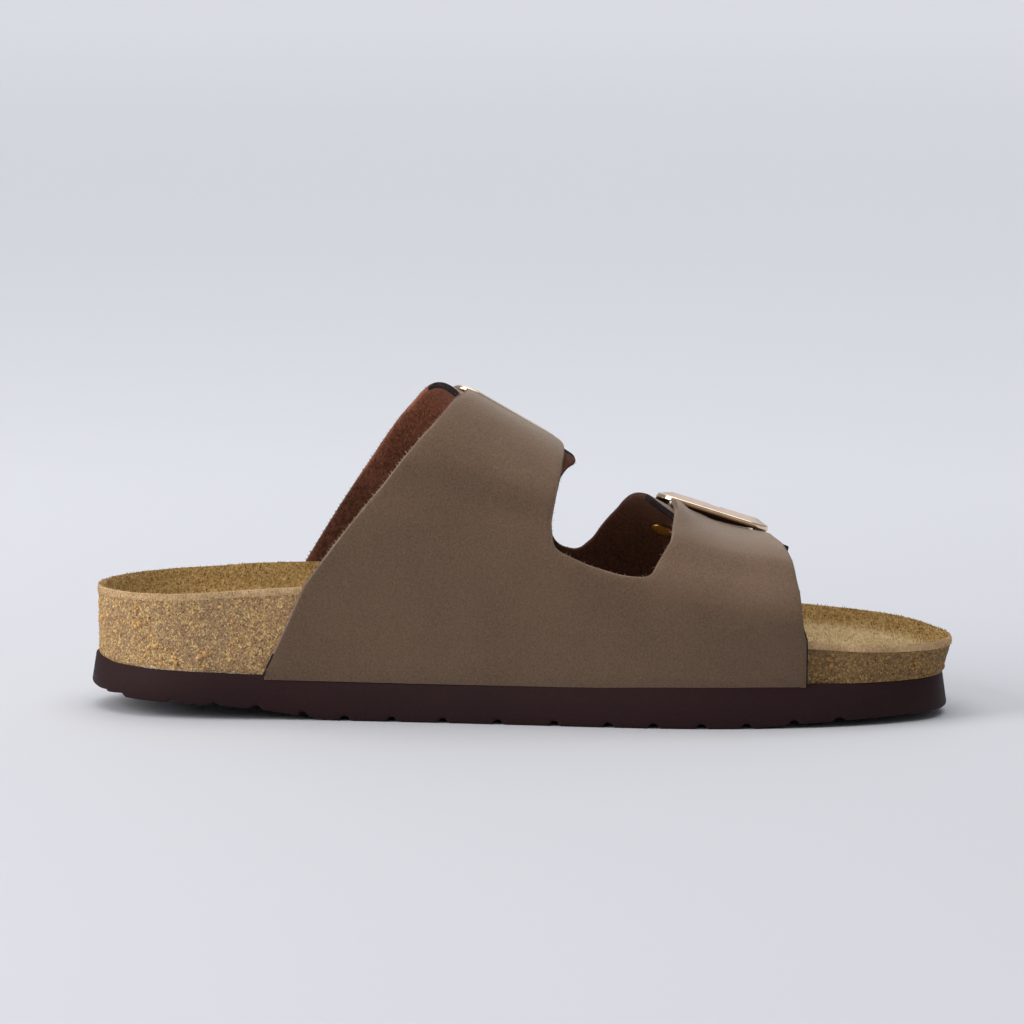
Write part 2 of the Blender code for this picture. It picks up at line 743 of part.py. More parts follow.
def tread_line(place, pair):
    """One line of the tread from edge to edge, straightened, in short steps."""
    ends = unwave(along_outline(pair, LOWER_EDGE))
    ends = ends[np.argsort(ends[:, 1])]
    steps = max(2, math.ceil((ends[1, 1] - ends[0, 1]) / TREAD_ROW_STEP))
    rows = np.linspace(ends[0, 1], ends[1, 1], steps + 1)
    line = np.stack((np.full(len(rows), place), rows), 1)
    line[[0, -1]] = ends
    return line


def on_line(points, line):
    """Which points lie on a line of the tread."""
    off = np.abs(points[:, 0] - np.interp(points[:, 1], line[:, 1], line[:, 0]))
    low = line[0, 1] - TREAD_SNAP
    high = line[-1, 1] + TREAD_SNAP
    return (off < TREAD_SNAP) & (points[:, 1] > low) & (points[:, 1] < high)


def make_outsole(material):
    """Outsole with a flared side, a flat deck and a grooved tread."""
    crossings = tread_crossings()
    edge = tread_edge(crossings)
    lines = [tread_line(place, pair) for place, _, pair in crossings]
    flat, faces = pattern_mesh([unwave(edge)], [], lines)
    in_groove = np.zeros(len(flat), bool)
    for line, (_, floor, _) in zip(lines, crossings):
        if floor:
            in_groove |= on_line(flat, line)
    plan = np.stack((flat[:, 0] + wave(flat[:, 1]), flat[:, 1]), 1)
    under = profile("under", plan[:, 0])
    tread = np.column_stack((plan, under + GROOVE_DEPTH * in_groove))
    steps = nearest_steps(plan)
    flare = np.column_stack((along_outline(steps, 0.0), under + FLARE_HEIGHT))
    on_edge = distance_to(plan, edge) < TREAD_SNAP
    deck_plan = np.where(on_edge[:, None], along_outline(steps, FLARE), plan)
    deck = np.column_stack((deck_plan, profile("deck", deck_plan[:, 0])))
    return sheet("outsole", faces, [deck, flare, tread], material)


def nearest_steps(plan):
    """Steps along the outline of the sole that lie nearest to plan points."""
    loop = along_outline(np.arange(OUTLINE_STEPS), LOWER_EDGE)
    run = np.roll(loop, -1, 0) - loop
    away = plan[:, None] - loop[None]
    share = np.clip((away * run).sum(2) / (run * run).sum(1), 0, 1)
    nearest = np.linalg.norm(away - share[:, :, None] * run, axis=2).argmin(1)
    return nearest + share[np.arange(len(plan)), nearest]


def bed_pattern():
    """Plan mesh shared by the footbed and the liner, closer near the rim."""
    outline = BED_PLAN[::BED_EDGE_STEP]
    directions = outward(BED_PLAN)[::BED_EDGE_STEP]
    rings = [outline - directions * inset for inset in BED_RINGS]
    columns = np.arange(BED_STEP, SOLE_LENGTH, BED_STEP)
    x, y = np.meshgrid(columns, np.arange(-BED_HALF, BED_HALF + 1, BED_STEP))
    grid = np.stack((x.ravel(), y.ravel()), 1)
    far_in = BED_RINGS[-1] + BED_STEP / 2
    grid = grid[inside(grid, BED_PLAN) & (distance_to(grid, BED_PLAN) > far_in)]
    return pattern_mesh([rings[0]], np.concatenate(rings[1:] + [grid]))


def make_footbed(material):
    """Cork body between the deck of the outsole and the liner."""
    plan, faces = bed_pattern()
    top = np.column_stack((plan, bed_height(plan) - LINER - GAP))
    base = plan.copy()
    base[:, 0] -= toe_lean(base[:, 0])
    base = np.column_stack((base, profile("deck", base[:, 0]) + GAP))
    return sheet("footbed", faces, [top, base], material)


def make_liner(material):
    """Suede cover over the footbed, its cut edge flush with the rim."""
    plan, faces = bed_pattern()
    height = bed_height(plan)
    top = np.column_stack((plan, height))
    below = np.column_stack((plan, height - LINER))
    return sheet("insole_liner", faces, [top, below], material)


def pattern_spots(loops):
    """Points inside a leather pattern, in rows along the foot, clear of its edges and folds."""
    rows = [RIM_GIRTH / 2] + list(np.arange(RIM_GIRTH, RIDGE_GIRTH, PATTERN_ROWS))
    rows = np.array(rows + [RIDGE_GIRTH] + [END_GIRTH - row for row in reversed(rows)])
    x, girth = np.meshgrid(np.arange(FOLD_FROM, FOLD_TO, PATTERN_COLUMN_STEP), rows)
    spots = np.stack((x.ravel(), girth.ravel()), 1)
    spots = spots[inside(spots, loops[0])]
    for loop in loops:
        spots = spots[distance_to(spots, loop) > PATTERN_CLEAR]
    for fold in FOLDS:
        spots = spots[distance_to(spots, fold[[0, -1]]) > PATTERN_CLEAR]
    for hole in loops[1:]:
        spots = spots[~inside(spots, hole)]
    return spots


def strap_hole(buckle, across, near, far, half):
    """Loop of a round or long hole in a strap, in pattern places."""
    angles = np.linspace(0, 2 * math.pi, HOLE_SIDES, endpoint=False) + math.pi / HOLE_SIDES
    ends = np.where(np.sin(angles) > 0, far, near)
    return np.stack(strap_place(buckle, across + half * np.cos(angles), ends + half * np.sin(angles)), 1)


def leather_piece(name, corners, holes, lift_of, material):
    """One leather piece wrapped over the last from its flat pattern."""
    loops = [rounded_loop(corners, PATTERN_STEP)] + holes
    flat, faces = pattern_mesh(loops, pattern_spots(loops), FOLDS)
    lift = lift_of(flat)
    outer_face = raised(flat[:, 0], flat[:, 1], lift + LEATHER)
    inner_face = raised(flat[:, 0], flat[:, 1], lift)
    return sheet(name, faces, [outer_face, inner_face], material)


def make_upper(material):
    """Inner and outer leather joined where their straps cross."""
    near = PRONG_SLOT[0] + PRONG_SLOT_HALF
    far = PRONG_SLOT[1] - PRONG_SLOT_HALF
    inner_holes = []
    outer_holes = []
    for buckle in BUCKLES:
        inner_holes.append(strap_hole(buckle, 0.0, near, far, PRONG_SLOT_HALF))
        inner_holes += [strap_hole(buckle, 0.0, place, place, SPARE_HOLE_RADIUS) for place in SPARE_HOLES]
        for side in (-1, 1):
            outer_holes.append(strap_hole(buckle, side * RIVET_ACROSS, RIVET_ALONG, RIVET_ALONG, RIVET_HOLE))
    upper = leather_piece("upper", INNER_PATTERN, inner_holes, inner_lift, material)
    outer = leather_piece("outer_leather", OUTER_PATTERN, outer_holes, no_lift, material)
    boolean(upper, "UNION", outer)
    return upper


def no_lift(points):
    """The outer leather lies straight on the last."""
    return np.zeros(len(points))


def seat_margin(outsole, corners, rows):
    """Cuts the seat of a turned-under leather margin into the deck of the outsole."""
    low = min(x for x, girth, _ in corners if min(rows) < girth < max(rows)) - GAP
    high = max(x for x, girth, _ in corners if min(rows) < girth < max(rows)) + GAP
    rings = []
    for x in np.linspace(low, high, SEAT_STEPS):
        along = np.full(len(rows), x)
        above = raised(along, rows, -SEAT_CLEAR)
        below = raised(along, rows, LEATHER + GAP)
        rings.append(np.concatenate((above, below[::-1])))
    cutter = loft("margin_seat", rings, False, outsole.data.materials[0])
    boolean(outsole, "DIFFERENCE", cutter)


def frame_route():
    """Middle line of a buckle frame with the direction out of it, corner by corner."""
    reach = FRAME_HALF - FRAME_CORNER
    route = []
    for quarter in range(4):
        turn = np.linspace(quarter, quarter + 1, CORNER_STEPS + 1) * math.pi / 2
        out = np.stack((np.cos(turn), np.sin(turn)), 1)
        corner = reach * np.sign(out[CORNER_STEPS // 2])
        route += [(corner + FRAME_CORNER * away, away) for away in out]
        along = np.array((-out[-1][1], out[-1][0]))
        route += [(FRAME_HALF * out[-1] + place * along, out[-1]) for place in (-reach / 2, 0.0, reach / 2)]
    return route


def bar_section(width, inside, outside):
    """Sideways places and heights round a bar, from its height inside the frame to that outside."""
    half = width / 2
    places = np.array((-half, half, half, half - BAR_CHAMFER, BAR_CHAMFER - half, -half))
    heights = np.array((0.0, 0.0, outside - BAR_CHAMFER, outside, inside, inside - BAR_CHAMFER))
    return places, heights


def make_buckle(buckle, material):
    """Frame of a buckle that bears on the strap inside, notched for the prong, with a hinge bar."""
    places, heights = bar_section(BAR_WIDTH, BAR_INSIDE, BAR_OUTSIDE)
    rings = []
    for (across, along), out in frame_route():
        ring = on_frame(buckle, across + out[0] * places, along + out[1] * places, BAR_SEAT + heights)
        seat = on_strap(buckle, across + out[0] * places[:2], along + out[1] * places[:2], BAR_SEAT)
        ring[0] = seat[0]
        ring[1] = max(ring[1], seat[1], key=lambda point: point[2])
        rings.append(ring)
    frame = loft("buckle_" + buckle[0], rings, True, material)
    places, heights = bar_section(HINGE_WIDTH, HINGE_HEIGHT, HINGE_HEIGHT)
    route = [(-across, rise) for across, rise in reversed(HINGE_ROUTE[1:])] + list(HINGE_ROUTE)
    rings = [on_strap(buckle, np.full(len(places), across), places, HINGE_SEAT + rise + heights)
             for across, rise in route]
    boolean(frame, "UNION", loft("hinge", rings, False, material))
    half = NOTCH_WIDTH / 2
    across = np.array((-half, half, half, -half))
    heights = BAR_SEAT + np.array((NOTCH_FLOOR, NOTCH_FLOOR, 2 * BAR_INSIDE, 2 * BAR_INSIDE))
    rings = [on_frame(buckle, across, np.full(4, along), heights) for along in (NOTCH_FROM, NOTCH_TO)]
    boolean(frame, "DIFFERENCE", loft("notch", rings, False, material))
    return frame


def make_prong(buckle, material):
    """Oval pin from the hinge, up through the strap and into the notch of the inner bar."""
    route = np.array(PRONG_ROUTE)
    run = np.gradient(route, axis=0)
    run /= np.linalg.norm(run, axis=1)[:, None]
    angles = np.linspace(0, 2 * math.pi, PRONG_SIDES, endpoint=False)
    across = PRONG_WIDTH / 2 * np.cos(angles)
    thick = PRONG_HEIGHT / 2 * np.sin(angles)
    rings = []
    for (along, height), (run_along, run_height) in zip(route, run):
        places = along - run_height * thick
        heights = height + run_along * thick
        straight = ease(-along, *PRONG_STRAIGHT)
        bent = on_strap(buckle, across, places, heights) * (1 - straight)
        rings.append(bent + on_frame(buckle, across, places, heights) * straight)
    return loft("prong_" + buckle[0], rings, False, material)


def make_rivet(buckle, end, side, material):
    """Rivet under one side bar of a frame, its round head inside the strap."""
    base = on_strap(buckle, side * RIVET_ACROSS, RIVET_ALONG, 0.0)[0]
    axis = on_strap(buckle, side * RIVET_ACROSS, RIVET_ALONG, 1.0)[0] - base
    sideways = np.cross(axis, (0.0, 0.0, 1.0))
    sideways /= np.linalg.norm(sideways)
    upward = np.cross(axis, sideways)
    angles = np.linspace(0, 2 * math.pi, RIVET_SIDES, endpoint=False)
    spokes = np.outer(np.cos(angles), sideways) + np.outer(np.sin(angles), upward)
    low = -RIVET_SEAT - RIVET_HEAD_HEIGHT
    outline = (
        (RIVET_CROWN, low),
        (RIVET_HEAD, low + RIVET_HEAD_HEIGHT / 2),
        (RIVET_HEAD, -RIVET_SEAT),
        (RIVET_STEM, -RIVET_SEAT),
        (RIVET_STEM, BAR_SEAT - GAP - (buckle[4] if end == "rear" else 0.0)),
    )
    rings = [base + spokes * radius + axis * height for radius, height in outline]
    return loft("rivet_" + buckle[0] + "_" + end, rings, False, material)


def make_sandal():
    """Builds every piece and stands the sandal over the origin."""
    for thing in list(bpy.data.objects):
        bpy.data.objects.remove(thing)
    finish = {name: make_material(name) for name in MATERIALS}
    outsole = make_outsole(finish["sole_rubber"])
    pieces = [outsole, make_footbed(finish["cork"])]
    pieces += [make_liner(finish["suede"]), make_upper(finish["nubuck"])]
    seat_rows = np.array((-MARGIN - GAP, -FOLD, 0.0, FOLD, 2 * FOLD))
    seat_margin(outsole, INNER_PATTERN, seat_rows)
    seat_margin(outsole, OUTER_PATTERN, END_GIRTH - seat_rows)
    for buckle in BUCKLES:
        pieces.append(make_buckle(buckle, finish["rose_gold"]))
        pieces.append(make_prong(buckle, finish["rose_gold"]))
        pieces.append(make_rivet(buckle, "rear", -1, finish["brass"]))
        pieces.append(make_rivet(buckle, "front", 1, finish["brass"]))
    corners = np.array([vert.co for piece in pieces for vert in piece.data.vertices])
    middle = (corners.min(0) + corners.max(0)) / 2
    sandal = bpy.data.objects.new("sandal", None)
    bpy.context.collection.objects.link(sandal)
    sandal.location = (-middle[0], -middle[1], -corners[:, 2].min())
    for piece in pieces:
        piece.parent = sandal
    bpy.context.view_layer.update()


make_sandal()
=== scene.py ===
"""Looks of the two-strap sandal: leather, lining, cork, suede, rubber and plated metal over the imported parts.

Sizes are in millimetres in the sandal's own frame, with x from the back of the heel, and become metres when
a mesh is made. The leather is cut from the same flat patterns as the solid upper and wrapped on the same
last. Girth is the place round the foot: 0 and 180 at the sole's edges, 90 on the ridge.
"""

import math

import bpy
import numpy as np
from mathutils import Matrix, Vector, noise
from mathutils.geometry import delaunay_2d_cdt


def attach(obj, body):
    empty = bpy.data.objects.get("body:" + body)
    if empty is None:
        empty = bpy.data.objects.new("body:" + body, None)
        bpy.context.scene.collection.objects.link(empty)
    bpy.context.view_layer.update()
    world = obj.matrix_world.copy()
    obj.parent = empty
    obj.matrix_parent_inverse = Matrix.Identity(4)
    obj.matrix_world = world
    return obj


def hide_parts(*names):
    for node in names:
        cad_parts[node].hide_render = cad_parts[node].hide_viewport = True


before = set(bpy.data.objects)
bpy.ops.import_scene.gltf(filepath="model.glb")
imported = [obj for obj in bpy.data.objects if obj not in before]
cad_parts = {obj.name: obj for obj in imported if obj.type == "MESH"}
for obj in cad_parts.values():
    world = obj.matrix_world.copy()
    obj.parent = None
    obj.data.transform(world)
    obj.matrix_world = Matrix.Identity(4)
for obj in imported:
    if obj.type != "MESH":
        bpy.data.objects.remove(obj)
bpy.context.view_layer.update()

MM = 0.001
STAND = np.array((-130.889, 0.631, 0.0))
SEED = 7

# Driving sizes of the sole and the leather
SOLE_BACK = -1.1
SOLE_LENGTH = 262.8
GAP = 0.3
LEATHER = 2.0
LINER = 2.3
SMOOTH_ANGLE = math.radians(48)

# Plan of the sole at the floor: share of the length, inner edge y, outer edge y
HEEL_BACK_Y = 1.5
TOE_TIP_Y = -13.0
PLAN = (
    (0.025, -16.5, 19.5), (0.10, -28.6, 31.4), (0.22, -31.4, 35.2), (0.36, -35.0, 38.2),
    (0.50, -40.6, 42.0), (0.62, -45.8, 45.6), (0.71, -48.0, 46.8), (0.79, -47.3, 45.0),
    (0.87, -43.8, 37.5), (0.94, -36.5, 23.0), (0.985, -27.0, 3.0),
)

# Heights of the sole and footbed along the foot, and how far in the walls of the footbed reach
PROFILE_COLUMNS = ("x", "under", "deck", "inner_rim", "outer_rim", "bed", "inner_wall", "outer_wall")
PROFILE = np.array((
    (0.0, 7.0, 15.6, 38.1, 38.1, 27.0, 15.0, 15.0),
    (7.0, 5.8, 15.3, 38.2, 38.2, 26.2, 15.0, 15.0),
    (15.0, 5.1, 15.0, 38.3, 38.4, 25.4, 15.0, 15.0),
    (34.0, 4.6, 14.3, 39.1, 39.0, 25.0, 16.0, 15.0),
    (50.0, 3.4, 13.6, 40.2, 40.0, 25.0, 18.0, 15.0),
    (64.0, 1.4, 13.3, 41.0, 40.2, 25.2, 21.0, 16.0),
    (80.0, 0.0, 13.1, 41.4, 39.8, 25.4, 25.0, 16.0),
    (105.0, 0.0, 13.0, 40.8, 37.9, 25.4, 28.0, 16.0),
    (140.0, 0.0, 13.2, 36.4, 33.9, 23.6, 20.0, 14.0),
    (175.0, 0.0, 13.6, 31.0, 29.6, 21.2, 13.0, 12.0),
    (195.0, 0.0, 13.5, 28.6, 27.8, 20.0, 11.5, 11.0),
    (219.0, 1.4, 13.1, 26.4, 26.3, 18.8, 10.5, 10.5),
    (234.0, 2.0, 12.9, 25.1, 25.5, 18.6, 10.5, 10.5),
    (248.0, 2.3, 12.8, 24.4, 25.2, 18.6, 10.5, 10.5),
    (264.0, 2.4, 12.9, 24.1, 24.1, 18.8, 10.5, 10.5),
))

# Outsole
FLARE = 1.3
FLARE_HEIGHT = 3.0
FLARE_LOWERED = 0.6
LOW_HEEL = (0.0, 9.0)
LOW_TOE = (246.0, 260.0)
DECK_INSET = 0.3
DECK_EDGE = 0.25
LOWER_EDGE = 0.6
LOWER_CURVE = ((1.0, 0.0), (0.62, 0.02), (0.34, 0.12), (0.14, 0.3))
GROOVE_DEPTH = 1.5
GROOVE_MOUTH = 4.0
GROOVE_FLOOR = 1.4
GROOVE_STEP = 4.0
GROOVES = (
    25.6, 37.9, 50.9, 65.3, 77.7, 92.0, 107.4, 124.0, 141.1, 157.4, 171.1, 185.4, 199.1, 213.3, 227.1,
)
SHALLOW_HEEL = (30.0, 80.0)
SHALLOW_TOE = (205.0, 240.0)
SHALLOW_SHARE = 0.4
HEEL_LUGS = ((2.2, 0.0), (4.4, 0.5), (4.8, 0.0), (9.6, 1.0), (10.2, 0.0))
HEEL_LIP = 0.9
HEEL_LIP_TO = 7.0
WAVE_HEIGHT = 2.0
WAVE_LENGTH = 36.0

# Footbed
TUCK = 1.6
FLUSH = -0.1
TUCK_REAR = (22.0, 44.0)
HEEL_INSET = 1.0
HEEL_INSET_TO = (4.0, 30.0)
TUCK_FRONT = (222.0, 236.0)
TOE_LEAN = 2.4
TOE_LEAN_FROM = 222.0
CREST_ROUND = 1.4
CREST_DROP = 0.5
WALL_CURVE = 1.6
SIDE_BLEND = 14.0
BED_BUMPS = ((148.0, 2.0, 2.4, 15.0, 13.0), (203.0, 2.0, 1.5, 6.0, 30.0))

# Side of the cork: size and height of its unevenness, raised lumps, glue along the sole
CORK_SIDE, CORK_LUMP, GLUE = range(3)
CORK_UNDER_LINER = 0.05
CORK_ON_DECK = 0.02
CORK_LEVELS = 20
CORK_BUMPS = ((0.55, 0.16), (1.3, 0.09))
LUMPS = 360
LUMPS_TOE_SHARE = 0.3
LUMPS_REAR = 46.0
LUMPS_FRONT = 222.0
LUMP_SIDES = 9
LUMP_UNEVEN = (0.75, 0.5)
LUMP_ROOT = -0.15
LUMP_CURVE = ((0.92, 0.45), (0.6, 0.85))
LUMP_RADIUS = (0.28, 0.70)
LUMP_LARGE = 1.5
LUMP_LARGE_SHARE = 0.2
LUMP_RISE = (0.5, 0.85)
LUMP_HEIGHTS = (0.04, 0.97)
GLUE_FROM = 16.0
GLUE_TO = 49.0
GLUE_SPOTS = 30
GLUE_HEIGHTS = (-0.1, 0.35)
GLUE_RADIUS = (0.2, 0.7)
GLUE_RISE = 0.2
GLUE_FLAT = 0.35

# Suede: its cut edge as drop and reach out, its pile, where its rim is worn pale, and the toe floor that
# painted light makes pale (the WORN finish)
SUEDE, SUEDE_EDGE, GOLDEN, PALE, DARK, WORN = range(6)
SUEDE_EDGE_CURVE = ((0.35, 0.05), (0.9, 0.16), (1.6, 0.18), (2.2, 0.14))
SUEDE_EDGE_ROUGH = (0.9, 0.16)
SUEDE_EDGE_WANDER = (0.35, 0.25)
PILE = 34000
PILE_HEIGHT = (0.35, 0.85)
PILE_WIDTH = 0.13
PILE_LEAN = ((-0.35, 0.5), (-0.2, 0.5))
PILE_NEAR_RIM = (2.0, 9.0)
PILE_NEAR_RIM_MORE = 2.5
PILE_SHARES = (0.4, 0.4, 0.2)
RIM_WORN = (1.2, 2.2)
RIM_WORN_HEEL = (3.0, 14.0)
RIM_WORN_TOE = (244.0, 256.0)
RIM_WORN_SIDE = (8.0, -16.0)
RIM_WORN_FADE = 8.0
RIM_FIBRES = 9000
RIM_FIBRE_LENGTH = (0.2, 0.6)
RIM_FIBRE_SPREAD = 0.8
TOE_FLOOR_IN = (6.1, 7.5)
TOE_FLOOR_FROM = (150.0, 215.0)

# Last: the ridge of the foot and the roundness of its sections
LAST_COLUMNS = ("x", "ridge_y", "ridge_z")
LAST = np.array((
    (45.0, -5.0, 118.0), (90.0, -7.0, 103.8), (105.0, -8.0, 99.3), (115.0, -8.5, 94.4),
    (125.0, -9.0, 88.7), (137.0, -9.5, 82.2), (150.0, -10.0, 74.6), (167.0, -11.0, 65.4),
    (178.0, -11.5, 59.2), (186.0, -11.8, 55.4), (193.0, -12.0, 52.8), (200.0, -12.2, 51.3),
    (207.0, -12.5, 50.5), (228.0, -13.0, 44.5),
))
FULLNESS = 2.2
ARC_STEPS = 60
RIM_GIRTH = 20.0
RIDGE_GIRTH = 90.0
END_GIRTH = 2 * RIDGE_GIRTH

# Leather patterns, one row a corner: x, girth, radius of the corner
MARGIN = 9.0
FOLD = 1.5
FUSE = 0.4
OVERLAP_FROM = 46.0
OVERLAP_FULL = 60.0
CURL = 1.8
CURL_ALONG = (177.0, 184.0)
CURL_START = (64.0, 82.0)
CURL_END = (93.0, 102.0)
SLACK = 0.18
SLACK_INNER = (24.0, 50.0)
SLACK_OUTER = (132.0, 156.0)
SLACK_LENGTHS = ((13.0, 19.0), (31.0, 15.0))
CORNER_ROOM = 0.48
SHORTEST_TRIM = 0.05
SHORTEST_RUN = 0.02
INNER_PATTERN = (
    (52.6, -MARGIN, 0.0), (52.8, 0.0, 0.0), (65.6, 20.0, 25.0), (89.5, 49.0, 60.0), (106.8, 72.0, 40.0),
    (112.8, 86.0, 12.0), (113.8, 110.5, 20.0), (105.0, 140.5, 9.5), (127.0, 147.3, 9.5), (136.2, 116.0, 4.0),
    (141.4, 103.5, 5.0), (143.1, 80.0, 25.0), (142.4, 66.0, 30.0), (140.5, 49.0, 10.0), (141.3, 40.3, 4.0),
    (152.0, 37.4, 20.0), (162.0, 36.5, 20.0), (170.0, 38.1, 5.0), (175.8, 56.0, 20.0), (176.4, 72.0, 20.0),
    (175.6, 90.0, 12.0), (178.2, 146.5, 9.5), (200.2, 146.5, 9.5), (201.8, 101.5, 2.0), (207.3, 98.0, 3.0),
    (208.4, 89.0, 20.0), (210.1, 79.5, 20.0), (212.6, 60.0, 30.0), (214.9, 43.0, 30.0), (215.8, 27.0, 8.0),
    (217.2, 20.0, 3.0), (217.2, 0.0, 0.0), (217.2, -MARGIN, 0.0),
)
OUTER_PATTERN = (
    (51.6, END_GIRTH + MARGIN, 0.0), (51.8, END_GIRTH, 0.0), (64.0, 160.0, 20.0), (84.5, 133.4, 60.0),
    (98.2, 113.4, 30.0), (106.0, 97.5, 10.0), (113.4, 82.0, 14.0), (117.0, 61.0, 9.0), (140.2, 58.5, 6.0),
    (147.3, 83.5, 8.0), (146.6, 94.0, 5.0), (139.0, 101.0, 8.0), (142.0, 118.0, 30.0), (140.0, 142.0, 12.0),
    (142.0, 150.6, 5.0), (149.6, 151.4, 5.0), (154.2, 146.8, 10.0), (161.2, 134.0, 30.0),
    (168.8, 108.0, 12.0), (170.8, 95.0, 8.0), (179.2, 78.0, 14.0), (180.5, 68.0, 5.0), (211.2, 79.0, 0.8),
    (212.8, 87.0, 0.8), (205.5, 95.0, 10.0), (207.4, 122.0, 40.0), (204.5, 148.0, 40.0),
    (203.0, 160.0, 10.0), (201.0, END_GIRTH, 0.0), (201.0, END_GIRTH + MARGIN, 0.0),
)

# Finishes of the leather by place: rear x, front x, lower and upper girth, finish
FACE, EDGE, LINING, DYED = range(4)
CORNER_TONES = (
    (138.0, 150.0, 86.0, 103.0, EDGE), (138.0, 150.0, 70.0, 86.0, LINING), (204.0, 214.0, 76.0, 96.0, EDGE),
)
INNER_EDGES = ((200.0, 230.0, -20.0, 24.0, DYED), (40.0, 60.0, -20.0, 5.0, DYED))
OUTER_EDGES = (
    (40.0, 140.0, 105.0, 200.0, LINING), (140.0, 172.0, 105.0, 200.0, LINING),
    (138.0, 150.0, 60.0, 86.0, LINING),
)

# Fringe of the raw edges: where it is rough, how many fibres a step there and elsewhere
FRINGE_GIRTH = (16.0, 165.0)
FRINGE_PER_POINT = (5.0, 0.7)
FRINGE_WIDTH = 0.075
FRINGE_WANDER = 0.14
FRINGE_SPREAD = 0.55
FRINGE_LENGTHS = (0.25, 1.0)

# Where the rough run of each leather's rear edge ends, and the longest fibres there
INNER_FRINGE = (112.0, 1.15)
OUTER_FRINGE = (104.0, 0.8)

# Scratches on the inner leather: x and girth of both ends, width, strength
SCRATCHES = (
    (126.0, 61.5, 134.0, 64.5, 0.3, 0.22),
    (132.0, 64.0, 137.5, 68.0, 0.25, 0.15),
    (190.0, 22.5, 206.0, 24.5, 0.5, 0.15),
    (96.0, 30.0, 99.5, 36.0, 0.3, 0.2),
)

# Buckles: name, x and girth of the middle, turn in degrees, how much lower the rear end sits
BUCKLES = (("instep", 122.3, 122.0, 17.0, 0.0), ("toe", 189.4, 120.6, 0.0, 0.8))
FRAME_HALF = 16.6
FRAME_CORNER = 5.0
FRAME_CORNER_STEPS = 10
FRAME_PLACES = (-0.75, -0.5, -0.27, -0.16, -0.13, 0.0, 0.13, 0.16, 0.27, 0.5, 0.75)
SATIN, POLISHED, SHADED = range(3)
BAR_WIDTH = 4.6
BAR_INSIDE = 2.8
BAR_OUTSIDE = 1.5
BAR_ROLL = 0.5
BAR_ROLL_STEPS = 5
BAR_FOOT = 0.2
BAR_SEAT = 2 * LEATHER - FUSE + GAP
HINGE_WIDTH = 4.0
HINGE_HEIGHT = 1.5
HINGE_SEAT = LEATHER + GAP
HINGE_ROUTE = ((0.0, 0.0), (7.0, 0.0), (13.9, 0.0), (15.2, 1.5), (16.6, 1.5))
HINGE_BENDS = (2.7, 10.0)
HINGE_CLEAR = 0.5
NOTCH_HALF = 1.6
NOTCH_EDGE = -1.4
NOTCH_FLOOR = 0.5
PRONG_ROUTE = (
    (-2.6, 3.1), (-4.2, 3.15), (-6.4, 4.05), (-8.6, 4.85), (-11.6, 5.3), (-13.4, 5.4), (-14.8, 5.4),
)
PRONG_STRAIGHT = (5.0, 14.0)
PRONG_WIDTH = 2.5
PRONG_HEIGHT = 1.2
PRONG_STEPS = 31
PRONG_TIP_FROM = 26
PRONG_TIP_STEPS = 4.2
PRONG_TIP_LEAST = 0.05
PRONG_SIDES = 16
PRONG_SLOT = (-10.6, -3.0)
PRONG_SLOT_HALF = 1.75
SPARE_HOLES = (8.5,)
SPARE_HOLE_RADIUS = 2.0
RIVET_ACROSS = 14.4
RIVET_ALONG = 14.2
RIVET_STEM = 1.5
RIVET_HEAD = 3.7
RIVET_HEAD_HEIGHT = 1.2
RIVET_RIM = 0.25
RIVET_BACK = (0.3, 0.35)
RIVET_SEAT = 0.5
RIVET_SIDES = 36
RIVET_DOME = (0.06, math.pi / 2, 9)
RIVET_HOLE = 1.9

# Mesh steps
OUTLINE_STEPS = 1440
OUTLINE_CLEAR = 1.2
BED_RINGS = ((1, 0.45), (1, 1.0), (2, 2.2), (3, 4.5), (4, 7.5))
BED_GRID = 3.0
BED_GRID_ACROSS = (-45.0, 46.0)
BED_GRID_IN = 9.5
LEATHER_STEP = 1.3
LEATHER_GRID = 2.0
LEATHER_GRID_X = (40.0, 240.0)
LEATHER_GRID_GIRTH = (-8.0, END_GIRTH + 9.0)
LEATHER_GRID_CLEAR = 0.7 * LEATHER_GRID
FOLD_X = (54.0, 200.0)
HOLE_STEPS = 28
EDGE_ROUND = ((0.16, 0.14), (0.0, 0.5), (0.0, 1.5), (0.16, 1.86))
EDGE_INSET = 0.5

# Camera of the photo
CAMERA_AWAY = 1600.0
CAMERA_RISE = math.radians(7.4)
CAMERA_AIM = np.array((128.6, -8.0, 60.7))
CAMERA_LENS = 183.6
CAMERA_SENSOR = 36.0

# Studio in metres: the paper sweep, the lights, and the soft glow behind the sandal
SWEEP_HALF = 9.0
SWEEP_NEAR = -4.0
SWEEP_BACK = 12.0
SWEEP_BEND = 2.0
SWEEP_TOP = 5.0
SWEEP_STEPS = 32
LAMP_COLOUR = (1.0, 0.985, 0.97)
OVERHEAD_POWER = 1.43
OVERHEAD_ANGLE = math.radians(70)
OVERHEAD_AIM = (0.06, -0.02, -1.0)
PANEL_PLACE = (-1.3, -0.5, 0.75)
PANEL_AIM = (0.0, 0.0, 0.05)
PANEL_SIZE = (0.8, 0.9)
PANEL_POWER = 13.0
SKY_COLOUR = (0.90, 0.94, 1.0, 1)
BACK_GLOW = (0.10, 0.79, 0.60)
BACK_GLOW_EDGE = (0.72, 0.93)
SKY_STRENGTH = (0.28, 0.80)


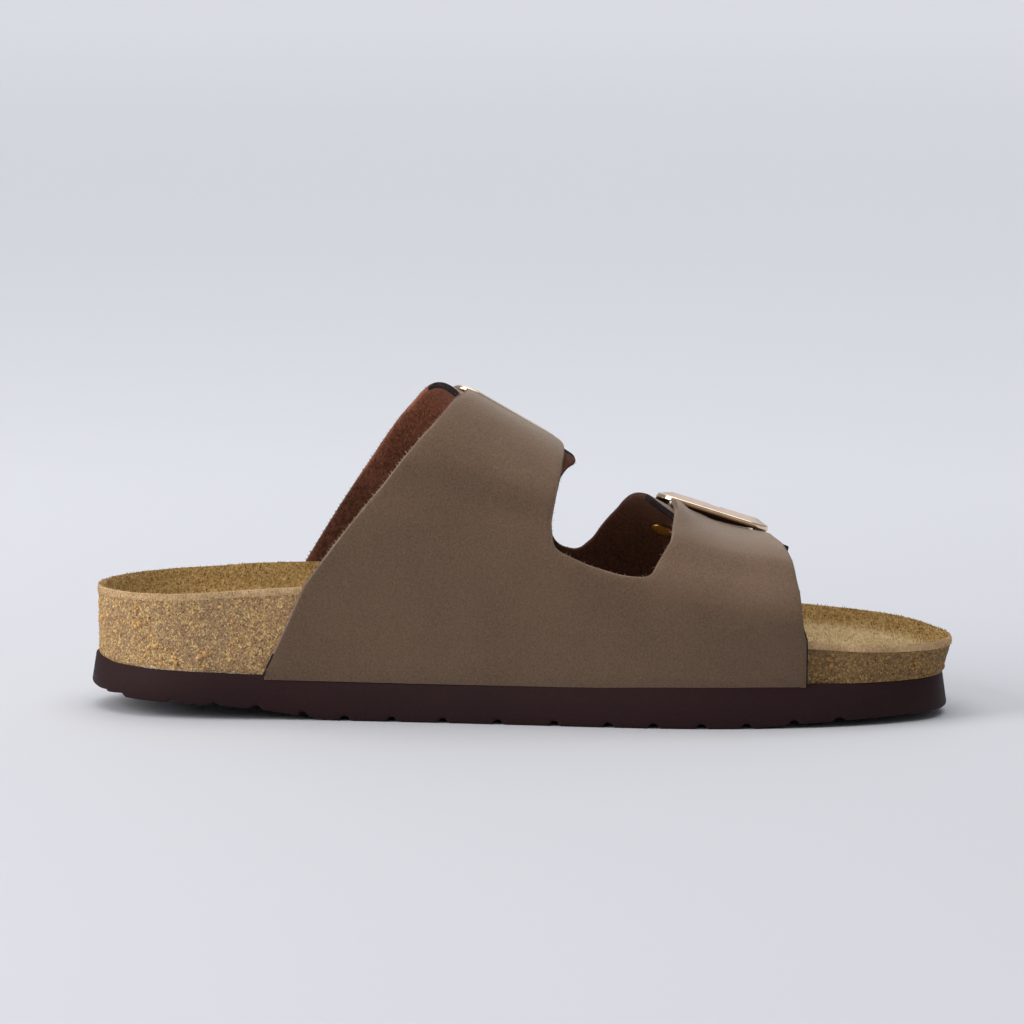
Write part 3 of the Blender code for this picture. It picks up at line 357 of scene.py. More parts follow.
def smooth_through(xs, ys, x):
    """Curve through (xs, ys) that never overshoots them, read at x."""
    step = np.diff(xs)
    rise = np.diff(ys) / step
    slope = np.zeros(len(xs))
    slope[0] = rise[0]
    slope[-1] = rise[-1]
    for i in range(1, len(xs) - 1):
        if rise[i - 1] * rise[i] > 0:
            before = 2 * step[i] + step[i - 1]
            after = step[i] + 2 * step[i - 1]
            slope[i] = (before + after) / (before / rise[i - 1] + after / rise[i])
    x = np.clip(x, xs[0], xs[-1])
    i = np.clip(np.searchsorted(xs, x, side="right") - 1, 0, len(xs) - 2)
    t = (x - xs[i]) / step[i]
    from_start = ys[i] * (1 + 2 * t) + slope[i] * step[i] * t
    to_end = ys[i + 1] * (3 - 2 * t) + slope[i + 1] * step[i] * (t - 1)
    return from_start * (1 - t) ** 2 + to_end * t ** 2


def profile(name, x):
    """A height or width of the sole at x."""
    return smooth_through(PROFILE[:, 0], PROFILE[:, PROFILE_COLUMNS.index(name)], x)


def last_size(name, x):
    """The place of the foot's ridge at x."""
    return smooth_through(LAST[:, 0], LAST[:, LAST_COLUMNS.index(name)], x)


def ease(value, low, high):
    """Soft step from 0 at low to 1 at high."""
    t = np.clip((value - low) / (high - low), 0.0, 1.0)
    return t * t * (3 - 2 * t)


def closed_spline(points, count):
    """Smooth closed curve through points, read at even steps."""
    points = np.asarray(points, float)
    total = len(points)
    chord = np.linalg.norm(np.roll(points, -1, 0) - points, axis=1)
    system = np.zeros((total, total))
    pull = np.zeros((total, 2))
    for i in range(total):
        before = chord[i - 1]
        after = chord[i]
        following = (i + 1) % total
        system[i, i - 1] = after
        system[i, i] = 2 * (before + after)
        system[i, following] = before
        towards = before * (points[following] - points[i]) / after
        pull[i] = 3 * (after * (points[i] - points[i - 1]) / before + towards)
    slope = np.linalg.solve(system, pull)
    t = np.linspace(0, 1, count // total, endpoint=False)[:, None]
    runs = []
    for i in range(total):
        following = (i + 1) % total
        from_start = points[i] * (1 + 2 * t) + slope[i] * chord[i] * t
        to_end = points[following] * (3 - 2 * t) + slope[following] * chord[i] * (t - 1)
        runs.append(from_start * (1 - t) ** 2 + to_end * t ** 2)
    fine = np.concatenate(runs + [points[:1]])
    along = np.concatenate(([0], np.cumsum(np.linalg.norm(np.diff(fine, axis=0), axis=1))))
    at = np.linspace(0, along[-1], count, endpoint=False)
    return np.stack([np.interp(at, along, fine[:, axis]) for axis in (0, 1)], 1)


def outward(loop):
    """Unit directions that point out of a loop that runs anticlockwise."""
    run = np.roll(loop, -1, 0) - np.roll(loop, 1, 0)
    run /= np.linalg.norm(run, axis=1)[:, None]
    return np.stack((run[:, 1], -run[:, 0]), 1)


def floor_plan():
    """Outline of the sole at the floor, from the heel along the inner side to the toe and back."""
    inner = [(SOLE_BACK + share * SOLE_LENGTH, y) for share, y, _ in PLAN]
    outer = [(SOLE_BACK + share * SOLE_LENGTH, y) for share, _, y in reversed(PLAN)]
    points = [(SOLE_BACK, HEEL_BACK_Y)] + inner + [(SOLE_BACK + SOLE_LENGTH, TOE_TIP_Y)] + outer
    return closed_spline(points, OUTLINE_STEPS)


def toe_lean(x):
    """How far the toe of the footbed leans forward at its rim."""
    return TOE_LEAN * ease(x, TOE_LEAN_FROM, SOLE_LENGTH)


def bed_plan():
    """Outline of the footbed at its rim."""
    x = FLOOR_PLAN[:, 0]
    under_leather = ease(x, *TUCK_REAR) * (1 - ease(x, *TUCK_FRONT))
    inset = FLARE + FLUSH + (TUCK - FLUSH) * under_leather + HEEL_INSET * (1 - ease(x, *HEEL_INSET_TO))
    loop = FLOOR_PLAN - outward(FLOOR_PLAN) * inset[:, None]
    loop[:, 0] += toe_lean(loop[:, 0])
    return loop


FLOOR_PLAN = floor_plan()
BED_PLAN = bed_plan()


def bed_edge(outer, x):
    """Inner face of the leather beside the footbed at x, on the outer or the inner side."""
    tip = int(np.argmax(BED_PLAN[:, 0]))
    inner_run = BED_PLAN[:tip + 1]
    outer_run = np.concatenate((BED_PLAN[tip:], BED_PLAN[:1]))[::-1]
    inner_y = np.interp(x, inner_run[:, 0], inner_run[:, 1]) - GAP
    outer_y = np.interp(x, outer_run[:, 0], outer_run[:, 1]) + GAP
    return np.where(outer, outer_y, inner_y)


def distance_to(points, loop):
    """Distance of each point to a closed loop."""
    start = np.asarray(loop, float)
    run = np.roll(start, -1, 0) - start
    found = []
    for group in np.array_split(points, max(1, len(points) // 500)):
        away = group[:, None] - start[None]
        along = np.clip((away * run).sum(2) / (run * run).sum(1), 0, 1)
        found.append(np.linalg.norm(away - along[:, :, None] * run, axis=2).min(1))
    return np.concatenate(found)


def inside(points, loop):
    """Which points lie inside a closed loop."""
    start = np.asarray(loop, float)
    end = np.roll(start, -1, 0)
    drop = np.where(end[:, 1] == start[:, 1], 1.0, end[:, 1] - start[:, 1])
    found = []
    for group in np.array_split(points, max(1, len(points) // 500)):
        crosses = (start[None, :, 1] > group[:, None, 1]) != (end[None, :, 1] > group[:, None, 1])
        at = start[:, 0] + (group[:, None, 1] - start[:, 1]) / drop * (end[:, 0] - start[:, 0])
        found.append((crosses & (group[:, None, 0] < at)).sum(1) % 2 == 1)
    return np.concatenate(found)


def bed_height(points):
    """Height of the footbed's top at plan points: floor, bumps and the walls that rise to the rim."""
    x = points[:, 0]
    y = points[:, 1]
    side = ease(y, -SIDE_BLEND, SIDE_BLEND)
    wall = profile("inner_wall", x) * (1 - side) + profile("outer_wall", x) * side
    rim = profile("inner_rim", x) * (1 - side) + profile("outer_rim", x) * side
    edge = distance_to(points, BED_PLAN)
    climb = np.clip(1 - edge / wall, 0, 1) ** WALL_CURVE
    bed = profile("bed", x)
    for bump_x, bump_y, height, reach_x, reach_y in BED_BUMPS:
        bed = bed + height * np.exp(-((x - bump_x) / reach_x) ** 2 - ((y - bump_y) / reach_y) ** 2)
    crest = CREST_DROP * np.clip(1 - edge / CREST_ROUND, 0, 1) ** 2
    return bed + (rim - bed) * climb - crest


def last_points(x, girth):
    """Points of the last: down the side of the footbed, turned under it, or over the foot."""
    outer = girth > RIDGE_GIRTH
    up = np.where(outer, END_GIRTH - girth, girth)
    base_y = bed_edge(outer, x)
    deck = profile("deck", x)
    rim = np.where(outer, profile("outer_rim", x), profile("inner_rim", x))
    ridge_y = last_size("ridge_y", x)
    ridge_z = last_size("ridge_z", x)
    angle = np.linspace(0, math.pi / 2, ARC_STEPS + 1)
    across = np.cos(angle) ** (2 / FULLNESS)
    rise = np.sin(angle) ** (2 / FULLNESS)
    arch_y = ridge_y[:, None] + (base_y - ridge_y)[:, None] * across
    arch_z = rim[:, None] + (ridge_z - rim)[:, None] * rise
    run = np.hypot(np.diff(arch_y, axis=1), np.diff(arch_z, axis=1)).cumsum(1)
    share = np.clip((up - RIM_GIRTH) / (RIDGE_GIRTH - RIM_GIRTH), 0, 1)
    y = base_y.copy()
    z = deck + (rim - deck) * np.clip(up / RIM_GIRTH, 0, 1)
    for i in np.nonzero(up > RIM_GIRTH)[0]:
        along = np.concatenate(([0.0], run[i] / run[i, -1]))
        y[i] = np.interp(share[i], along, arch_y[i])
        z[i] = np.interp(share[i], along, arch_z[i])
    under = np.clip(-up, 0, None)
    y += np.where(outer, -under, under)
    return np.stack((x, y, z), 1)


def last_seat(x, girth):
    """Points of the last and the directions out of it."""
    along = last_points(x + 1.0, girth) - last_points(x - 1.0, girth)
    round_foot = last_points(x, girth + FOLD) - last_points(x, girth - FOLD)
    normal = np.cross(along, round_foot)
    return last_points(x, girth), normal / np.linalg.norm(normal, axis=1)[:, None]


def raised(x, girth, lift):
    """Points that stand off the last by lift."""
    x = np.atleast_1d(np.asarray(x, float))
    girth = np.atleast_1d(np.asarray(girth, float))
    seat, normal = last_seat(x, girth)
    return seat + normal * np.reshape(lift, (-1, 1))


def buckle_scale(x, girth):
    """How much x and girth change for each millimetre across and along a strap there."""
    here = last_points(np.array([x, x + 1, x]), np.array([girth, girth, girth + 1]))
    return 1 / np.linalg.norm(here[1] - here[0]), 1 / np.linalg.norm(here[2] - here[0])


def strap_place(buckle, across, along):
    """Pattern place of a point in a buckle's own frame: across the strap and along it."""
    _, x, girth, turn, _ = buckle
    per_x, per_girth = buckle_scale(x, girth)
    across = np.atleast_1d(np.asarray(across, float))
    along = np.atleast_1d(np.asarray(along, float))
    cos = math.cos(math.radians(turn))
    sin = math.sin(math.radians(turn))
    return x + (across * cos - along * sin) * per_x, girth + (across * sin + along * cos) * per_girth


def on_strap(buckle, across, along, height):
    """Points in a buckle's own frame that stand off the last by height."""
    return raised(*strap_place(buckle, across, along), height)


def on_frame(buckle, across, along, height):
    """The same places on a frame that is straight from its rear end to its front end."""
    rear = on_strap(buckle, np.full(np.shape(across), -FRAME_HALF), along, height - buckle[4])
    front = on_strap(buckle, np.full(np.shape(across), FRAME_HALF), along, height)
    share = np.reshape(across, (-1, 1)) / (2 * FRAME_HALF) + 0.5
    return rear + (front - rear) * share


def slack(points):
    """Soft unevenness of the leather where it spans the foot."""
    x = points[:, 0]
    girth = points[:, 1]
    free = ease(girth, *SLACK_INNER) * (1 - ease(girth, *SLACK_OUTER))
    (x_with, girth_with), (x_against, girth_against) = SLACK_LENGTHS
    rows = np.sin(x / x_with + girth / girth_with)
    cross_rows = np.sin(girth / girth_against - x / x_against)
    return SLACK * free * rows * cross_rows


def inner_lift(points):
    """How far the inner leather stands off the last, over the outer straps and the buckle hinges."""
    x = points[:, 0]
    girth = points[:, 1]
    lift = (LEATHER - FUSE) * ease(girth, OVERLAP_FROM, OVERLAP_FULL) + slack(points)
    over_hinge = HINGE_SEAT + HINGE_HEIGHT + HINGE_CLEAR - (LEATHER - FUSE)
    between = (BUCKLES[0][1] + BUCKLES[1][1]) / 2
    for (_, centre_x, centre_girth, turn, _), mine in zip(BUCKLES, (x < between, x >= between)):
        per_x, per_girth = buckle_scale(centre_x, centre_girth)
        across = (x - centre_x) / per_x
        along = (girth - centre_girth) / per_girth
        from_hinge = np.abs(along * math.cos(math.radians(turn)) - across * math.sin(math.radians(turn)))
        lift += np.where(mine, over_hinge * (1 - ease(from_hinge, *HINGE_BENDS)), 0.0)
    curled = (1 - ease(x, *CURL_ALONG)) * ease(girth, *CURL_START) * (1 - ease(girth, *CURL_END))
    return lift + np.where(x >= between, CURL * curled, 0.0)


def rounded_loop(corners, step):
    """Outline with each corner rounded to its radius and its runs cut into short steps."""
    points = [np.array(corner[:2]) for corner in corners]
    outline = []
    for i, corner in enumerate(points):
        back = points[i - 1] - corner
        ahead = points[(i + 1) % len(points)] - corner
        room = min(np.linalg.norm(back), np.linalg.norm(ahead)) * CORNER_ROOM
        back /= np.linalg.norm(back)
        ahead /= np.linalg.norm(ahead)
        half = math.acos(np.clip(back @ ahead, -1, 1)) / 2
        trim = min(corners[i][2] / math.tan(half), room)
        if trim < SHORTEST_TRIM:
            outline.append(corner)
            continue
        radius = trim * math.tan(half)
        turn = math.pi - 2 * half
        start = corner + back * trim
        end = corner + ahead * trim
        centre = corner + (back + ahead) / np.linalg.norm(back + ahead) * radius / math.sin(half)
        for share in np.linspace(0, 1, max(2, math.ceil(radius * turn / step)) + 1):
            blend = (start - centre) * math.sin((1 - share) * turn) + (end - centre) * math.sin(share * turn)
            outline.append(centre + blend / math.sin(turn))
    points = []
    for i, start in enumerate(outline):
        run = outline[(i + 1) % len(outline)] - start
        length = np.linalg.norm(run)
        if length > SHORTEST_RUN:
            shares = np.linspace(0, 1, max(1, math.ceil(length / step)), endpoint=False)
            points += [start + run * share for share in shares]
    return np.array(points)


def pattern_mesh(loops, spots, lines=()):
    """Triangles that fill the first loop, leave the other loops open, and keep to spots and lines."""
    points = np.concatenate([np.asarray(group).reshape(-1, 2) for group in (*loops, *lines, spots)])
    edges = []
    first = 0
    for loop in loops:
        edges += [(first + i, first + (i + 1) % len(loop)) for i in range(len(loop))]
        first += len(loop)
    for line in lines:
        edges += [(first + i, first + i + 1) for i in range(len(line) - 1)]
        first += len(line)
    flat, _, faces, _, _, _ = delaunay_2d_cdt([Vector(p) for p in points], edges, [], 1, 0.00001)
    flat = np.array([tuple(p) for p in flat])
    faces = np.array([face for face in faces if len(face) == 3])
    middles = flat[faces].mean(1)
    keep = inside(middles, loops[0])
    for hole in loops[1:]:
        keep &= ~inside(middles, hole)
    return flat, faces[keep]


def rim_of(flat, faces):
    """Edges round a flat mesh, the points on them, and the directions in from there."""
    directed = {(face[i], face[(i + 1) % 3]) for face in faces.tolist() for i in range(3)}
    edges = sorted(edge for edge in directed if (edge[1], edge[0]) not in directed)
    inward = np.zeros_like(flat)
    for a, b in edges:
        run = flat[b] - flat[a]
        turned = np.array((-run[1], run[0])) / np.linalg.norm(run)
        inward[a] += turned
        inward[b] += turned
    length = np.linalg.norm(inward, axis=1)
    inward[length > 0] /= length[length > 0, None]
    ids = np.array(sorted({a for edge in edges for a in edge}))
    return edges, ids, inward


class Shape:
    """Points and faces of one piece as it is put together, with the finish of each face."""

    def __init__(self):
        self.points = []
        self.faces = []
        self.tones = []
        self.count = 0

    def add(self, points, faces, tone):
        """Adds a run of points with faces that count from its first point."""
        start = self.count
        self.points.append(np.asarray(points, float))
        self.count += len(points)
        self.faces += [tuple(int(i) + start for i in face) for face in faces]
        self.tones += list(tone) if np.ndim(tone) else [tone] * len(faces)

    def shell(self, flat, faces, top, rings, bottom, tones):
        """Adds a solid from a flat mesh: top, bottom, and rings of points round its edge between them."""
        edges, ids, _ = rim_of(flat, faces)
        total = len(flat)
        place = {int(point): i for i, point in enumerate(ids)}
        solid = [tuple(face) for face in faces] + [tuple(i + total for i in face[::-1]) for face in faces]
        tone = [tones[0]] * len(faces) + [tones[2]] * len(faces)
        for level in range(len(rings) + 1):
            for a, b in edges:
                high = [level_point(level - 1, point, place, total, len(rings), len(ids)) for point in (b, a)]
                low = [level_point(level, point, place, total, len(rings), len(ids)) for point in (a, b)]
                solid.append((*high, *low))
                tone.append(tones[1])
        self.add(np.concatenate([top, bottom] + list(rings)), solid, tone)

    def loft(self, rings, closed, tones):
        """Adds a solid through rings of points, in a loop or with flat ends."""
        size = len(rings[0])
        total = len(rings)
        faces = []
        tone = []
        for i in range(total if closed else total - 1):
            here = i * size
            ahead = (i + 1) % total * size
            for k in range(size):
                turn = (k + 1) % size
                faces.append((here + k, here + turn, ahead + turn, ahead + k))
                tone.append(tones[k % len(tones)])
        if not closed:
            faces.append(tuple(reversed(range(size))))
            faces.append(tuple(range((total - 1) * size, total * size)))
            tone += [tones[0]] * 2
        self.add(np.concatenate(rings), faces, tone)

    def piece(self, name, node, finishes):
        """Makes the piece, standing where its solid part stands."""
        mesh = bpy.data.meshes.new(name)
        mesh.from_pydata(((np.concatenate(self.points) + STAND) * MM).tolist(), [], self.faces)
        for finish in finishes:
            mesh.materials.append(finish)
        mesh.polygons.foreach_set("material_index", np.array(self.tones, dtype=np.int32))
        mesh.shade_smooth()
        mesh.set_sharp_from_angle(angle=SMOOTH_ANGLE)
        mesh.update()
        thing = bpy.data.objects.new(name, mesh)
        bpy.context.collection.objects.link(thing)
        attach(thing, "root")
        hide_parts(node)
        return thing


def level_point(level, point, place, total, rings, size):
    """Number of an edge point on one level of a shell, from -1 at the top to rings at the bottom."""
    if level < 0:
        return point
    if level == rings:
        return point + total
    return 2 * total + level * size + place[point]


def wave(y):
    """How far a groove of the tread swings forward at y."""
    return WAVE_HEIGHT * np.sin(2 * math.pi * np.asarray(y) / WAVE_LENGTH)


def unwave(plan):
    """Plan points shifted so that the grooves of the tread run straight across."""
    return np.stack((plan[:, 0] - wave(plan[:, 1]), plan[:, 1]), 1)


def along_outline(steps, inset):
    """Plan points at steps along the outline of the sole, moved in by inset."""
    loop = FLOOR_PLAN - outward(FLOOR_PLAN) * inset
    closed = np.concatenate((loop, loop[:1]))
    at = np.arange(len(closed))
    return np.stack([np.interp(steps, at, closed[:, axis]) for axis in (0, 1)], 1)


def tread_crossings():
    """Lines along both sides of each groove and of its floor: the place, and where they meet the outline."""
    straight = unwave(FLOOR_PLAN)[:, 0]
    inner = FLOOR_PLAN[:, 1] < HEEL_BACK_Y
    places = [straight[inner][np.abs(FLOOR_PLAN[inner, 0] - x).argmin()] for x in GROOVES]
    ahead = np.roll(straight, -1)
    found = []
    for place in places:
        for width in (-GROOVE_MOUTH, -GROOVE_FLOOR, GROOVE_FLOOR, GROOVE_MOUTH):
            at = place + width / 2
            hits = np.nonzero((straight < at) != (ahead < at))[0]
            if len(hits) == 2:
                found.append((at, hits + (at - straight[hits]) / (ahead[hits] - straight[hits])))
    return found


def nearest_steps(plan):
    """Steps along the outline of the sole that lie nearest to plan points."""
    loop = along_outline(np.arange(OUTLINE_STEPS), LOWER_EDGE)
    run = np.roll(loop, -1, 0) - loop
    found = []
    for group in np.array_split(plan, max(1, len(plan) // 400)):
        away = group[:, None] - loop[None]
        share = np.clip((away * run).sum(2) / (run * run).sum(1), 0, 1)
        nearest = np.linalg.norm(away - share[:, :, None] * run, axis=2).argmin(1)
        found.append(nearest + share[np.arange(len(group)), nearest])
    return np.concatenate(found)


def make_outsole(finish):
    """Foamed rubber sole with a soft lower edge and a grooved tread."""
    crossings = tread_crossings()
    fixed = np.concatenate([pair for _, pair in crossings])
    spread = np.arange(0, OUTLINE_STEPS, 2)
    apart = np.abs(spread[:, None] - fixed[None])
    apart = np.minimum(apart, OUTLINE_STEPS - apart).min(1)
    steps = np.sort(np.concatenate((fixed, spread[apart > OUTLINE_CLEAR])))
    edge = along_outline(steps, LOWER_EDGE)
    lines = []
    for place, pair in crossings:
        ends = unwave(along_outline(pair, LOWER_EDGE))
        ends = ends[np.argsort(ends[:, 1])]
        rows = np.linspace(ends[0, 1], ends[1, 1], max(3, math.ceil(np.ptp(ends[:, 1]) / GROOVE_STEP)))
        line = np.stack((np.full(len(rows), place), rows), 1)
        line[[0, -1]] = ends
        lines.append(line)
    flat, faces = pattern_mesh([unwave(edge)], [], lines)
    middles = np.array([(low[0] + high[0]) / 2 for low, high in zip(crossings[1::4], crossings[2::4])])
    off = np.abs(flat[:, :1] - middles).min(1)
    floor = GROOVE_DEPTH * np.clip((GROOVE_MOUTH / 2 - off) / (GROOVE_MOUTH / 2 - GROOVE_FLOOR / 2), 0, 1)
    plan = np.stack((flat[:, 0] + wave(flat[:, 1]), flat[:, 1]), 1)
    shallow = 1 - ease(plan[:, 0], *SHALLOW_HEEL) + ease(plan[:, 0], *SHALLOW_TOE)
    floor = floor * (1 - SHALLOW_SHARE * shallow) + np.interp(plan[:, 0], *np.transpose(HEEL_LUGS))
    tread = np.column_stack((plan, profile("under", plan[:, 0]) + floor))
    _, ids, _ = rim_of(flat, faces)
    at = nearest_steps(plan[ids])
    deck_plan = plan.copy()
    deck_plan[ids] = along_outline(at, FLARE + DECK_INSET)
    deck = np.column_stack((deck_plan, profile("deck", deck_plan[:, 0])))
    low = profile("under", plan[ids, 0]) + floor[ids]
    ends = 1 - ease(plan[ids, 0], *LOW_HEEL) + ease(plan[ids, 0], *LOW_TOE)
    flare = profile("under", plan[ids, 0]) + FLARE_HEIGHT * (1 - FLARE_LOWERED * ends)
    lip = along_outline(at, FLARE)
    raised_lip = HEEL_LIP * (1 - ease(lip[:, 0], 0.0, HEEL_LIP_TO))
    deck[ids, 2] += raised_lip
    rings = [np.column_stack((lip, profile("deck", lip[:, 0]) - DECK_EDGE + raised_lip))]
    for share, inset in LOWER_CURVE:
        rings.append(np.column_stack((along_outline(at, inset), low + (flare - low) * share)))
    shape = Shape()
    shape.shell(flat, faces, deck, rings, tread, (0, 0, 0))
    return shape.piece("outsole_rubber", "outsole", [finish])


def bed_pattern():
    """Plan mesh shared by the cork and the suede, closer near the rim."""
    outline = BED_PLAN[::2]
    directions = outward(BED_PLAN)[::2]
    rings = [outline[::skip] - directions[::skip] * inset for skip, inset in BED_RINGS]
    x, y = np.meshgrid(np.arange(BED_GRID, SOLE_LENGTH, BED_GRID), np.arange(*BED_GRID_ACROSS, BED_GRID))
    grid = np.stack((x.ravel(), y.ravel()), 1)
    grid = grid[inside(grid, BED_PLAN)]
    grid = grid[distance_to(grid, BED_PLAN) > BED_GRID_IN]
    return pattern_mesh([outline], np.concatenate(rings + [grid]))


def add_lump(shape, centre, out, up, radius, rise, chance, tone):
    """Adds one rounded lump that stands out of the side of the cork."""
    along = np.cross(up, out) / np.linalg.norm(up)
    turn = np.linspace(0, 2 * math.pi, LUMP_SIDES, endpoint=False)
    spokes = np.outer(np.cos(turn), along) + np.outer(np.sin(turn), up)
    least, more = LUMP_UNEVEN
    spokes *= radius * (least + more * chance.random(LUMP_SIDES))[:, None]
    levels = [(1.0, LUMP_ROOT)] + [(wide, rise * share) for wide, share in LUMP_CURVE]
    rings = [centre + spokes * wide + out * high for wide, high in levels]
    faces = []
    for low in (0, LUMP_SIDES):
        high = low + LUMP_SIDES
        for k in range(LUMP_SIDES):
            following = (k + 1) % LUMP_SIDES
            faces.append((low + k, low + following, high + following, high + k))
    last = 2 * LUMP_SIDES
    faces += [(last + k, last + (k + 1) % LUMP_SIDES, last + LUMP_SIDES) for k in range(LUMP_SIDES)]
    shape.add(np.concatenate(rings + [centre[None] + out * rise]), faces, tone)


def make_cork(flat, faces, finishes):
    """Cork body with an uneven, granular side and lumps that stand out where it is bare."""
    _, ids, inward = rim_of(flat, faces)
    top = np.column_stack((flat, bed_height(flat) - LINER + CORK_UNDER_LINER))
    base = flat.copy()
    base[:, 0] -= toe_lean(base[:, 0])
    base = np.column_stack((base, profile("deck", base[:, 0]) + CORK_ON_DECK))
    rings = []
    for share in np.linspace(0, 1, CORK_LEVELS)[1:-1]:
        ring = top[ids] * (1 - share) + base[ids] * share
        bumps = [sum(noise.noise(Vector(p) * size) * height for size, height in CORK_BUMPS) for p in ring]
        ring[:, :2] -= inward[ids] * np.array(bumps)[:, None]
        rings.append(ring)
    shape = Shape()
    shape.shell(flat, faces, top, rings, base, (CORK_SIDE, CORK_SIDE, CORK_SIDE))
    chance = np.random.default_rng(SEED)
    bare = [i for i in ids if flat[i, 0] < LUMPS_REAR or flat[i, 0] > LUMPS_FRONT]
    share_of_lumps = np.where(flat[bare, 0] < LUMPS_REAR, 1.0, LUMPS_TOE_SHARE)
    for i in chance.choice(bare, LUMPS, p=share_of_lumps / share_of_lumps.sum()):
        share = chance.uniform(*LUMP_HEIGHTS)
        spot = top[i] * (1 - share) + base[i] * share
        up = top[i] - base[i]
        up /= np.linalg.norm(up)
        out = np.array((*-inward[i], 0.0))
        radius = chance.uniform(*LUMP_RADIUS)
        radius *= LUMP_LARGE if chance.random() < LUMP_LARGE_SHARE else 1.0
        add_lump(shape, spot, out, up, radius, radius * chance.uniform(*LUMP_RISE), chance, CORK_LUMP)
    seam = [i for i in ids if GLUE_FROM < flat[i, 0] < GLUE_TO and flat[i, 1] < 0]
    for i in chance.choice(seam, GLUE_SPOTS):
        out = np.array((*-inward[i], 0.0))
        spot = base[i] + (0, 0, chance.uniform(*GLUE_HEIGHTS))
        up = np.array((0.0, 0.0, GLUE_FLAT))
        add_lump(shape, spot, out, up, chance.uniform(*GLUE_RADIUS), GLUE_RISE, chance, GLUE)
    return shape.piece("cork_body", "footbed", finishes)


def add_fibres(shape, roots, leans, tall, width, tones, chance):
    """Adds thin fibres as pointed spikes: where they stand, which way, how long and in which finish."""
    count = len(roots)
    leans = leans / np.linalg.norm(leans, axis=1)[:, None]
    side = np.cross(leans, chance.normal(0, 1, (count, 3)))
    side *= width / np.linalg.norm(side, axis=1)[:, None]
    cross = np.cross(leans, side)
    base = [roots + side, roots - side * 0.5 + cross * 0.87, roots - side * 0.5 - cross * 0.87]
    points = np.stack(base + [roots + leans * np.reshape(tall, (-1, 1))], 1).reshape(-1, 3)
    first = np.arange(count)[:, None] * 4
    spikes = np.stack((first + (0, 1, 3), first + (1, 2, 3), first + (2, 0, 3)), 1).reshape(-1, 3)
    shape.add(points, spikes, np.repeat(tones, 3))


def add_pile(shape, flat, faces, top, chance):
    """Adds short standing fibres over the bed, closer together near the rim and paler on it."""
    corners = top[faces]
    sides = corners[:, 1:] - corners[:, :1]
    area = np.linalg.norm(np.cross(sides[:, 0], sides[:, 1]), axis=1)
    from_rim = ease(distance_to(flat[faces].mean(1), BED_PLAN), *PILE_NEAR_RIM)
    crowd = area * (1 + PILE_NEAR_RIM_MORE * (1 - from_rim))
    chosen = chance.choice(len(faces), PILE, p=crowd / crowd.sum())
    shares = chance.dirichlet((1.0, 1.0, 1.0), PILE)
    roots = (corners[chosen] * shares[:, :, None]).sum(1)
    leans = np.column_stack([chance.normal(*lean, PILE) for lean in PILE_LEAN] + [np.ones(PILE)])
    plan = roots[:, :2]
    tones = np.where(on_rim(plan), SUEDE_EDGE, chance.choice((GOLDEN, PALE, DARK), PILE, p=PILE_SHARES))
    # painted light: pile fibres on the flat toe floor take pale finishes
    tones = np.where(chance.random(PILE) < lit_floor_share(plan), chance.choice((PALE, WORN), PILE), tones)
    add_fibres(shape, roots, leans, chance.uniform(*PILE_HEIGHT, PILE), PILE_WIDTH, tones, chance)


def lit_floor_share(plan):
    """How much painted light pales the bed at plan points: most on the flat floor under the toes."""
    return ease(distance_to(plan, BED_PLAN), *TOE_FLOOR_IN) * ease(plan[:, 0], *TOE_FLOOR_FROM)


def on_rim(plan):
    """Whether plan points lie on the pale worn edge of the suede, which is wider round heel and toe."""
    ends = 1 - ease(plan[:, 0], *RIM_WORN_HEEL) + ease(plan[:, 0], *RIM_WORN_TOE)
    wide = RIM_WORN[0] + (RIM_WORN[1] - RIM_WORN[0]) * ends
    side = np.where(plan[:, 0] < SOLE_LENGTH / 2, *RIM_WORN_SIDE)
    wide *= 1 - ease(plan[:, 1], side - RIM_WORN_FADE, side + RIM_WORN_FADE)
    return distance_to(plan, BED_PLAN) < wide


def make_liner(flat, faces, finishes):
    """Suede cover with a soft cut edge round the rim and a standing pile."""
    _, ids, inward = rim_of(flat, faces)
    height = bed_height(flat)
    top = np.column_stack((flat, height))
    below = np.column_stack((flat, height - LINER))
    rings = []
    for drop, out in SUEDE_EDGE_CURVE:
        ring = top[ids] - np.array((0.0, 0.0, drop))
        size, reach = SUEDE_EDGE_ROUGH
        rough = np.array([noise.noise(Vector(p) * size) * reach for p in ring])
        size, reach = SUEDE_EDGE_WANDER
        lowest = SUEDE_EDGE_CURVE[-1][0]
        ring[:, 2] += [noise.noise(Vector(p) * size) * reach * drop / lowest for p in ring]
        ring[:, :2] -= inward[ids] * (out + rough)[:, None]
        rings.append(ring)
    shape = Shape()
    shape.shell(flat, faces, top, rings, below, (SUEDE, SUEDE_EDGE, SUEDE_EDGE))
    shape.tones[:len(faces)] = np.where(on_rim(flat[faces].mean(1)), SUEDE_EDGE, SUEDE).tolist()
    chance = np.random.default_rng(SEED)
    add_pile(shape, flat, faces, top, chance)
    at = chance.integers(0, len(ids), RIM_FIBRES)
    share = chance.random(RIM_FIBRES)[:, None]
    roots = rings[0][at] * (1 - share) + rings[-1][at] * share
    leans = np.column_stack((-inward[ids][at], np.zeros(RIM_FIBRES)))
    leans = leans + chance.normal(0, RIM_FIBRE_SPREAD, (RIM_FIBRES, 3))
    add_fibres(shape, roots, leans, chance.uniform(*RIM_FIBRE_LENGTH, RIM_FIBRES), PILE_WIDTH,
               np.full(RIM_FIBRES, SUEDE_EDGE), chance)
    liner = shape.piece("suede_liner", "insole_liner", finishes)
    # painted light: the worn attribute holds how far the flat toe floor is painted pale where the light falls
    # on it
    worn = np.zeros(shape.count)
    worn[:len(flat)] = lit_floor_share(flat)
    liner.data.attributes.new("worn", "FLOAT", "POINT").data.foreach_set("value", worn)
    return liner


